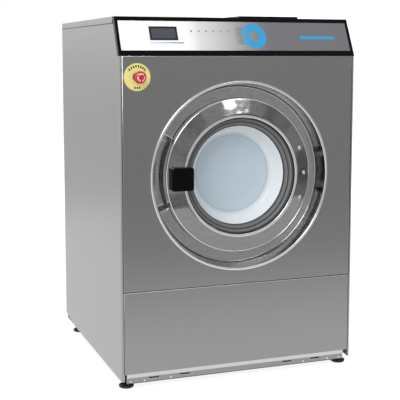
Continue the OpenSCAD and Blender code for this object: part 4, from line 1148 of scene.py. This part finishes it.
@dataclass
class RolledCopies(SubAssembly):
    """The plain stiff pieces: sheet, castings and mouldings that need only their edges rolled."""

    pieces: dict[str, tuple[Finish, float]] = field(default_factory=lambda: {
        "top_panel": (PANEL_SIDE, 1.4), "rear_panel": (ZINC, 1.2), "plinth": (PLINTH_STEEL, 0.5),
        "base_frame": (FRAME_PAINT, 1.5), "suspension_frame": (FRAME_PAINT, 1.5),
        "levelling_feet": (BLACK_RUBBER, 0.8), "fascia_frame": (GLOSS_BLACK, 1.5),
        "drive_box": (GREY_PLASTIC, 1.2), "door_lock": (SATIN_BLACK, 0.8),
        "door_hinge_bracket": (BRIGHT, 0.8), "door_hinge_pin": (BRIGHT, 0.6),
        "inlet_valves": (WHITE_PLASTIC, 0.8), "fill_hoses": (BLACK_RUBBER, 0.8),
        "drain_valve": (WHITE_PLASTIC, 1.0), "vent_outlet": (GREY_PLASTIC, 0.8),
        "cable_gland": (SATIN_BLACK, 0.8), "damper_cylinders": (FRAME_PAINT, 1.0),
        "tub_shell": (ZINC, 0.8), "tub_front": (ZINC, 0.8), "tub_brackets": (FRAME_PAINT, 1.2),
        "counterweights": (IRON, 3.0), "bearing_housing": (IRON, 3.0),
        "drum_bearings": (BRIGHT, 0.8), "shaft_seal": (BLACK_RUBBER, 0.5),
        "damper_rods": (BRIGHT, 0.5), "motor_mount": (FRAME_PAINT, 1.2),
        "motor_housing": (IRON, 1.5), "heating_elements": (BRIGHT, 0.5),
        "drive_belt": (BLACK_RUBBER, 0.6), "drum_spider": (ALUMINIUM, 2.5),
        "drum_pulley": (ALUMINIUM, 1.0), "motor_shaft": (BRIGHT, 0.5),
        "drum_lifters": (DRUM_STEEL, 1.0), "door_back_ring": (POLISHED, 0.6),
        "door_hinge_leaf": (BRIGHT, 1.0), "handle_housing": (SATIN_BLACK, 0.8),
        "latch_hook": (BRIGHT, 0.6), "dispenser_hopper": (WHITE_PLASTIC, 0.8),
        "dispenser_lid": (GLOSS_BLACK, 1.5), "estop_collar": (SATIN_BLACK, 0.6),
        "estop_plunger": (GREY_PLASTIC, 0.5), "estop_legend_plate": (YELLOW, 0.4),
        "estop_button": (RED, 0.6), "cabinet_screws": (BRIGHT, 0.3),
        "hinge_screws": (BRIGHT, 0.3), "fascia_plate": (PLATE, 0.4),
        "display_screen": (SCREEN, 0.5), "door_handle": (GLOSS_BLACK, 2.0)})

    def build(self) -> None:
        """Rolls the edges of each of them."""
        for node, (finish, edge_mm) in self.pieces.items():
            self.machine.add(softened(node, node + "_rolled", edge_mm), finish, node)


@dataclass
class FrontSheets(SubAssembly):
    """The two front panels with rolled edges, and the side panels with their front folds."""

    edge_r: float = 3.0
    side_edge: float = 1.2
    side_reach: float = 10.0
    inset: float = 6.7
    fold_r: float = 6.5
    fold_start: float = 7.5
    flange: float = 7.4
    flange_r: float = 0.8
    flange_end: float = 14.0
    sheet: float = 1.5
    fascia_gap: float = 0.2
    strip_size: Point = (660.0, 1.8, 7.4)
    strip_edge: float = 0.4
    strip_depth: float = 6.0
    strip_z: float = 29.8

    def panel(self, node: str) -> None:
        """Rolls a front panel's outer edges and draws its sides in between the folds.

        Args:
            node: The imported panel.
        """
        piece = copied(node)
        low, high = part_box(node)

        def outer(edge: bmesh.types.BMEdge) -> bool:
            """Says whether an edge lies on the front face's outline.

            Args:
                edge: The edge.

            Returns:
                True for an edge of the outline.
            """
            ends = [vertex.co for vertex in edge.verts]
            if any(abs(end.y - low.y) > CAD_DOUBLES for end in ends):
                return False
            return any(all(abs(end[i] - bound[i]) < CAD_DOUBLES for end in ends)
                       for i in (Axis.X.value, Axis.Z.value) for bound in (low, high))

        with editing(piece, Element.EDGE) as mesh:
            choose(piece, mesh, Element.EDGE, outer)
            bpy.ops.mesh.bevel(offset=self.edge_r * MM, segments=5, affect="EDGES",
                               clamp_overlap=False)
        reach = high.x - self.side_reach * MM
        for side in (-1, 1):
            with editing(piece) as mesh:
                choose(piece, mesh, Element.VERT, lambda vertex: vertex.co.x * side > reach)
                bpy.ops.transform.translate(value=(-side * self.inset * MM, 0, 0))
        self.machine.add(settle(piece, node + "_folded", 40), PANEL_FRONT, node)

    def side(self, node: str, side: int) -> None:
        """Makes a side panel, with the rounded fold down its front edge.

        Args:
            node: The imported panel.
            side: -1 for the left one, 1 for the right one.
        """
        low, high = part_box(node)
        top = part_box("fascia_frame")[0].z - self.fascia_gap * MM
        piece = softened(node, node + "_rolled", self.side_edge)
        back = FRONT_Y + self.fold_start * MM
        cut_boxes(piece, [(Vector(low) - Vector((MM, MM, MM)), Vector((high.x + MM, back, top)))])
        self.machine.add(piece, PANEL_SIDE, node)
        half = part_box("right_panel")[1].x / MM
        inner = half - self.flange
        path = [(half, self.fold_start), (half, 0, self.fold_r), (inner, 0, self.flange_r),
                (inner, self.flange_end)]
        outline = walled(rounded(path, steps=8), -self.sheet)
        points = [Vector((side * x * MM, FRONT_Y + y * MM, low.z)) for x, y in outline]
        fold = extruded(node.replace("panel", "fold"), points, Vector((0, 0, top - low.z)))
        self.machine.add(fold, PANEL_SIDE, slot="stainless_side", body="cabinet")

    def shade_strip(self) -> None:
        """Makes a black rubber strip behind the plinth's slots, a dark sheet that stands in for the
        shade behind them.
        """
        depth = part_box("plinth")[0].y + self.strip_depth * MM
        bpy.ops.mesh.primitive_cube_add(size=1, location=(0, depth, self.strip_z * MM),
                                        scale=Vector(self.strip_size) * MM)
        strip = settle(bpy.context.object, "plinth_backing")
        apply_modifier(strip, "BEVEL", width=self.strip_edge * MM, segments=2)
        self.machine.add(strip, BLACK_RUBBER, slot="rubber", body="cabinet")

    def build(self) -> None:
        """Builds the strip, the front panels and the side panels."""
        self.shade_strip()
        for node in ("front_panel", "service_panel"):
            self.panel(node)
        self.side("left_panel", -1)
        self.side("right_panel", 1)


@dataclass
class Surround(SubAssembly):
    """The pressed dish round the door, with the hand scoop at its left."""

    rim: Section = ((320, 0), (320, -8, 4), (311, -8, 4), (300, 48, 8))
    floor_r: Span = (290.0, 214.0)
    floor_depth: float = 48.0
    floor_rings: int = 30
    neck: Section = ((208, 48, 6), (208, 76))
    sheet: float = 1.5
    steps: int = 540
    scoop_depth: float = 26.0
    scoop_top: Span = (150.0, 154.0)
    scoop_foot: Span = (204.0, 199.5)
    scoop_radii: Span = (262.0, 266.0)
    scoop_fade: Span = (39.0, 46.5)
    cuts: Cuts = (((-253, 43, -9), (-219, 56, 9)),
                  ((241.3, 43, -46.2), (251.7, 56, -33.8)),
                  ((241.3, 43, 33.8), (251.7, 56, 46.2)))

    def outline(self) -> Outline:
        """Draws the dish's section, with rings across its floor for the scoop.

        Returns:
            The closed outline.
        """
        outer, inner = self.floor_r
        floor = [(outer - (outer - inner) * i / self.floor_rings, self.floor_depth)
                 for i in range(self.floor_rings)]
        return walled(rounded([*self.rim, *floor, *self.neck]), -self.sheet)

    def press_scoop(self, piece: Object) -> None:
        """Presses the hand scoop into the floor behind the door's left edge.

        Args:
            piece: The turned dish.
        """
        def ramp(value: float, start: float, end: float) -> float:
            """Steps smoothly from 0 to 1.

            Args:
                value: The value.
                start: Where the step is 0.
                end: Where the step is 1.

            Returns:
                The step's height.
            """
            t = max(0.0, min(1.0, (value - start) / (end - start)))
            return t * t * (3 - 2 * t)

        for vertex in piece.data.vertices:
            x, z = vertex.co.x / MM, (vertex.co.z - DOOR_Z) / MM
            radius, angle = math.hypot(x, z), math.degrees(math.atan2(z, x)) % 360
            along = ramp(angle, *self.scoop_top) * ramp(angle, *self.scoop_foot)
            across = ramp(radius, *self.scoop_radii)
            down = ramp((vertex.co.y - FRONT_Y) / MM, *self.scoop_fade)
            vertex.co.y += self.scoop_depth * along * across * down * MM

    def build(self) -> None:
        """Turns the dish, presses the scoop and cuts the lock's mouth and the hinge's slots."""
        piece = turned("door_surround_pressed", self.outline(), self.steps, smooth_angle=40)
        self.press_scoop(piece)
        cut_boxes(piece, [(at(*low), at(*high)) for low, high in self.cuts])
        self.machine.add(piece, SURROUND_STEEL, "door_surround")


@dataclass
class Door(SubAssembly):
    """The door: a pressed ring, a gasket and the glass bowl.

    Each section runs through points of radius, depth and, at a rounded corner, its radius.
    """

    ring_section: Section = ((261, 42), (261, 18, 5), (210, -1.5, 14), (204, -3, 3),
                             (197, -3, 3), (197, 8))
    ring_sheet: float = 2.0
    bowl_section: Section = ((188, 31), (168, 31, 4), (152, 84, 14), (98, 94, 60), (0, 97))
    glass: float = 7.0
    gasket_section: Section = (
        (194.8, 4), (194.8, 37.8), (188.2, 37.8), (188.2, 30.8), (167, 30.8), (167, 26, 1.5),
        (173, 23, 1.5), (175, 25, 1), (178, 20, 2), (184, 16, 2), (186, 18, 1), (189, 10, 2),
        (194, 4, 2), (194.8, 4))
    cuts: Cuts = (((242, 21.5, -62), (266, 47, 62)), ((-249, -10, -11), (-225, 30, 11)))
    steps: int = 360

    def ring(self) -> None:
        """Makes the ring: a rolled edge, a shallow cone, a bead, and room for hinge and hook."""
        outline = walled(rounded(self.ring_section, steps=7), -self.ring_sheet)
        piece = turned("door_ring_pressed", outline, self.steps, smooth_angle=40)
        cut_boxes(piece, [(at(*low), at(*high)) for low, high in self.cuts])
        self.machine.add(piece, RING_STEEL, "door_ring")

    def gasket(self) -> None:
        """Makes the gasket between ring and glass, with two ribs that show as rings."""
        outline = rounded(self.gasket_section, steps=4)[:-1]
        piece = turned("window_gasket", outline, self.steps // 2)
        self.machine.add(piece, GASKET_RUBBER, "door_gasket")

    def bowl(self) -> None:
        """Makes the pressed glass bowl."""
        outline = walled(rounded(self.bowl_section, steps=10), -self.glass)
        piece = turned("window_bowl", outline, self.steps // 2, smooth_angle=60)
        self.machine.add(piece, GLASS, "door_glass")

    def build(self) -> None:
        """Builds the door's turned pieces."""
        self.ring()
        self.gasket()
        self.bowl()


@dataclass
class SoftParts(SubAssembly):
    """The boot, the bellows hoses and the springs, built in place; on the machine they bend as the
    tub bounces.
    """

    boot_section: Section = ((194, 60), (205.3, 57, 3), (205.3, 80.5, 3), (230, 80.5, 3),
                             (230, 89.5, 3), (208.3, 89.5, 3), (208.3, 100))
    boot_wall: float = 2.5
    boot_bend: Span = (79.0, 91.0)
    boot_steps: int = 240
    hose_wall: float = 3.0
    hose_steps: int = 64
    hose_margin: float = 12.0
    cuff: float = 14.0
    fold_out: float = 7.0
    fold_pitch: float = 16.0
    fold_shape: tuple[Span, ...] = ((0.1, 0), (0.35, 1), (0.65, 1), (0.9, 0))
    fold_r: float = 1.5
    spring_edge: float = 0.5
    spring_ends: Span = (100.0, 90.0)

    def boot(self) -> None:
        """Makes the door boot: two cuffs and one fold."""
        outline = walled(rounded(self.boot_section), -self.boot_wall)
        piece = turned("door_boot_folded", outline, self.boot_steps)
        start, end = (at(0, depth, 0) for depth in self.boot_bend)
        self.machine.add(piece, GREY_RUBBER, "door_boot", blend=(start, end))

    def bellows(self) -> None:
        """Makes the bellows hoses of the drain, the vent and the dispenser."""
        names = ("drain_bellows", "vent_bellows", "dispenser_bellows")
        for name, (low, high) in zip(names, solid_boxes("bellows_hoses")):
            middle, length = (low + high) / 2, (high.z - low.z) / MM
            inner = (high.x - low.x) / 2 / MM - self.fold_out - self.hose_wall
            folded = length - 2 * self.cuff
            count = max(1, int(folded // self.fold_pitch))
            pitch = folded / count
            folds = [(inner + out * self.fold_out, self.cuff + (k + share) * pitch, self.fold_r)
                     for k in range(count) for share, out in self.fold_shape]
            path = rounded([(inner, 0), *folds, (inner, length)], steps=3)
            foot, head = (Vector((middle.x, middle.y, end.z)) for end in (low, high))
            piece = turned(name, walled(path, -self.hose_wall), self.hose_steps, foot, Axis.Z)
            margin = Vector((0, 0, self.hose_margin * MM))
            ends = (foot + margin, head - margin)
            if name == names[0]:  # the drain's hose hangs from the tub, the others rise from it
                self.machine.add(piece, BLACK_RUBBER, "bellows_hoses", slot="rubber", blend=ends)
            else:
                self.machine.add(piece, BLACK_RUBBER, slot="rubber", blend=ends[::-1])

    def springs(self) -> None:
        """Makes the four suspension springs with their plugs, nuts and eye bolts."""
        low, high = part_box("springs")
        start = Vector((0, 0, high.z - self.spring_ends[1] * MM))
        end = Vector((0, 0, low.z + self.spring_ends[0] * MM))
        piece = softened("springs", "suspension_springs", self.spring_edge)
        self.machine.add(piece, BRIGHT, "springs", blend=(start, end))

    def build(self) -> None:
        """Builds the pieces that bend."""
        self.boot()
        self.bellows()
        self.springs()


@dataclass
class Drum(SubAssembly):
    """The drum: a rolled mouth, a perforated wall and a back disc."""

    mouth_section: Section = ((209, 128), (202, 121, 2), (210, 120, 2), (216, 125, 3),
                              (325, 125, 12), (325, 139))
    back_section: Section = ((325, 539), (325, 555, 14), (60, 555, 6), (56, 550, 3), (0, 550))
    wall_r: float = 325.0
    wall_ends: Span = (139.0, 539.0)
    plain_edge: float = 5.0
    sheet: float = 2.0
    hole_r: float = 3.2
    rows: int = 17
    columns: int = 84
    steps: int = 240

    def ends(self) -> None:
        """Turns the front with its rolled mouth, and the back disc."""
        front = walled(rounded(self.mouth_section), -self.sheet)
        back = walled(rounded(self.back_section), -self.sheet)
        mouth = turned("drum_mouth_rolled", front, self.steps)
        self.machine.add(mouth, DRUM_STEEL, "drum_shell")
        disc = turned("drum_back_disc", back, self.steps)
        self.machine.add(disc, DRUM_STEEL, slot="stainless_polished", body="drum")

    def wall(self) -> None:
        """Spins the cylindrical wall as a grid, and opens a hole at its inner crossings."""
        start, end = self.wall_ends
        depths = [start + (end - start) * k / self.rows for k in range(self.rows + 1)]
        piece = chain([at(self.wall_r, depth, 0) for depth in depths])
        with editing(piece):
            bpy.ops.mesh.select_all(action="SELECT")
            bpy.ops.mesh.spin(steps=self.columns, angle=FULL_TURN, center=(0, 0, DOOR_Z),
                              axis=(0, 1, 0))
        face_outwards(piece)
        low, high = at(0, start + self.plain_edge, 0).y, at(0, end - self.plain_edge, 0).y
        # A hole's face fits in a square of 2.4 times its radius; the sheet's faces don't.
        largest = (self.hole_r * 2.4 * MM) ** 2
        with editing(piece) as mesh:
            choose(piece, mesh, Element.VERT, lambda vertex: low < vertex.co.y < high)
            bpy.ops.mesh.bevel(offset=self.hole_r * MM, segments=2, affect="VERTICES")
            bpy.ops.mesh.select_mode(type=Element.FACE.name)
            bpy.ops.mesh.select_all(action="DESELECT")
            mesh = bmesh.from_edit_mesh(piece.data)
            choose(piece, mesh, Element.FACE,
                   lambda face: face.calc_area() < largest and len(face.verts) >= 8)
            bpy.ops.mesh.delete(type="FACE")
        apply_modifier(piece, "SOLIDIFY", thickness=self.sheet * MM, offset=-1.0)
        self.machine.add(settle(piece, "drum_wall_perforated"), DRUM_STEEL,
                         slot="stainless_polished", body="drum")

    def build(self) -> None:
        """Builds the drum's sheet."""
        self.ends()
        self.wall()


@dataclass(frozen=True)
class SoftBox:
    """A studio lamp with an oblong face."""

    name: str
    place: Point
    aim: Point
    size: Span
    watts: float

    def build(self) -> None:
        """Hangs the lamp and points it at its aim."""
        data = bpy.data.lights.new(self.name, "AREA")
        data.shape = "RECTANGLE"
        data.size, data.size_y = self.size
        data.energy = self.watts
        lamp = bpy.data.objects.new(self.name, data)
        bpy.context.scene.collection.objects.link(lamp)
        lamp.location = self.place
        way = Vector(self.aim) - Vector(self.place)
        lamp.rotation_euler = way.to_track_quat("-Z", "Y").to_euler()


@dataclass
class Studio:
    """A pale studio: the camera of the photograph, a white floor, and soft lamps."""

    lens: float = 86.0
    yaw: float = math.radians(20.0)
    tilt: float = math.radians(6.28)
    shift: float = -0.10
    place: Point = (-1.2184, -3.3733, 1.0987)
    floor_size: float = 5.0
    floor_place: Point = (-0.6, 0.9, 0.0)
    floor_tint: str = "#f4f4f4"
    glow: float = 1.15
    glow_share: float = 0.78
    bright_way: Point = (-0.745, 0.6, 0.3)
    bright_turn: Span = (-0.35, 0.1)
    bright: Span = (0.3, 1.0)
    dim_turn: Span = (-1.0, -0.35)
    dim: Span = (0.4, 0.64)
    clutter: float = 3.2
    clutter_span: Span = (0.38, 0.62)
    clutter_levels: Span = (0.55, 1.4)
    lamps: tuple[SoftBox, ...] = (
        SoftBox("key_softbox", (-2.2, -2.6, 3.2), (0, 0, 0.8), (2.0, 2.0), 60),
        SoftBox("ring_softbox", (0.7, -2.07, 2.27), (-0.03, -0.43, 0.93), (0.75, 0.07), 1.3))

    def camera(self) -> None:
        """Sets up the camera, which looks at the front from the left."""
        data = bpy.data.cameras.new("camera")
        data.lens = self.lens
        data.shift_y = self.shift
        camera = bpy.data.objects.new("camera", data)
        bpy.context.scene.collection.objects.link(camera)
        camera.location = self.place
        camera.rotation_euler = (math.pi / 2 - self.tilt, 0.0, -self.yaw)
        bpy.context.scene.camera = camera

    def world(self) -> None:
        """Makes a room, bright behind and to the left, with blurred things for metal to mirror."""
        world = bpy.data.worlds.new("studio")
        bpy.context.scene.world = world
        tree = empty_tree(world)
        way = add_node(tree, "TexCoord", out="Generated")
        toward = Vector(self.bright_way).normalized()
        turn = add_node(tree, "VectorMath", [way, toward], out="Value", operation="DOT_PRODUCT")
        near = add_node(tree, "MapRange", [turn, *self.dim_turn, *self.dim])
        far = add_node(tree, "MapRange", [turn, *self.bright_turn, *self.bright])
        level = add_node(tree, "Math", [near, far], operation="MAXIMUM")
        things = add_node(tree, "TexNoise", {"Vector": way, "Scale": self.clutter, "Detail": 3.0})
        spread = add_node(tree, "MapRange", [things, *self.clutter_span, *self.clutter_levels])
        level = add_node(tree, "Math", [level, spread], operation="MULTIPLY")
        seen = add_node(tree, "LightPath", out="Is Camera Ray")
        level = add_node(tree, "Math", [level, seen], operation="MAXIMUM")
        room = add_node(tree, "Background", {"Color": srgb(WHITE), "Strength": level})
        add_node(tree, "OutputWorld", [room])

    def floor(self) -> None:
        """Lays a floor that stays white in the picture and in metal, and keeps the shadow."""
        bpy.ops.mesh.primitive_plane_add(size=self.floor_size, location=self.floor_place)
        floor = bpy.context.object
        floor.name = "studio_floor"
        material = bpy.data.materials.new("white studio floor")
        tree = empty_tree(material)
        board = add_node(tree, "BsdfPrincipled", {
            "Base Color": srgb(self.floor_tint), "Roughness": 0.9})
        glow = add_node(tree, "Emission", {"Color": srgb(WHITE), "Strength": self.glow})
        seen = add_node(tree, "LightPath", out="Is Camera Ray")
        for ray in ("Is Glossy Ray", "Is Transmission Ray"):
            mirrored = add_node(tree, "LightPath", out=ray)
            seen = add_node(tree, "Math", [seen, mirrored], operation="ADD")
        share = add_node(tree, "Math", [seen, self.glow_share], operation="MULTIPLY")
        add_node(tree, "OutputMaterial", [add_node(tree, "MixShader", [share, board, glow])])
        floor.data.materials.append(material)

    def build(self) -> None:
        """Builds the whole studio."""
        bpy.context.scene.view_settings.view_transform = "Standard"
        self.camera()
        self.world()
        self.floor()
        for lamp in self.lamps:
            lamp.build()


def main() -> None:
    """Builds the studio and every sub-assembly, in order."""
    logging.basicConfig(level=logging.INFO, format="%(message)s")
    Studio().build()
    machine = Machine()
    for assembly in (RolledCopies, FrontSheets, Surround, Door, SoftParts, Drum):
        assembly(machine).build()


if __name__ == "__main__":
    main()
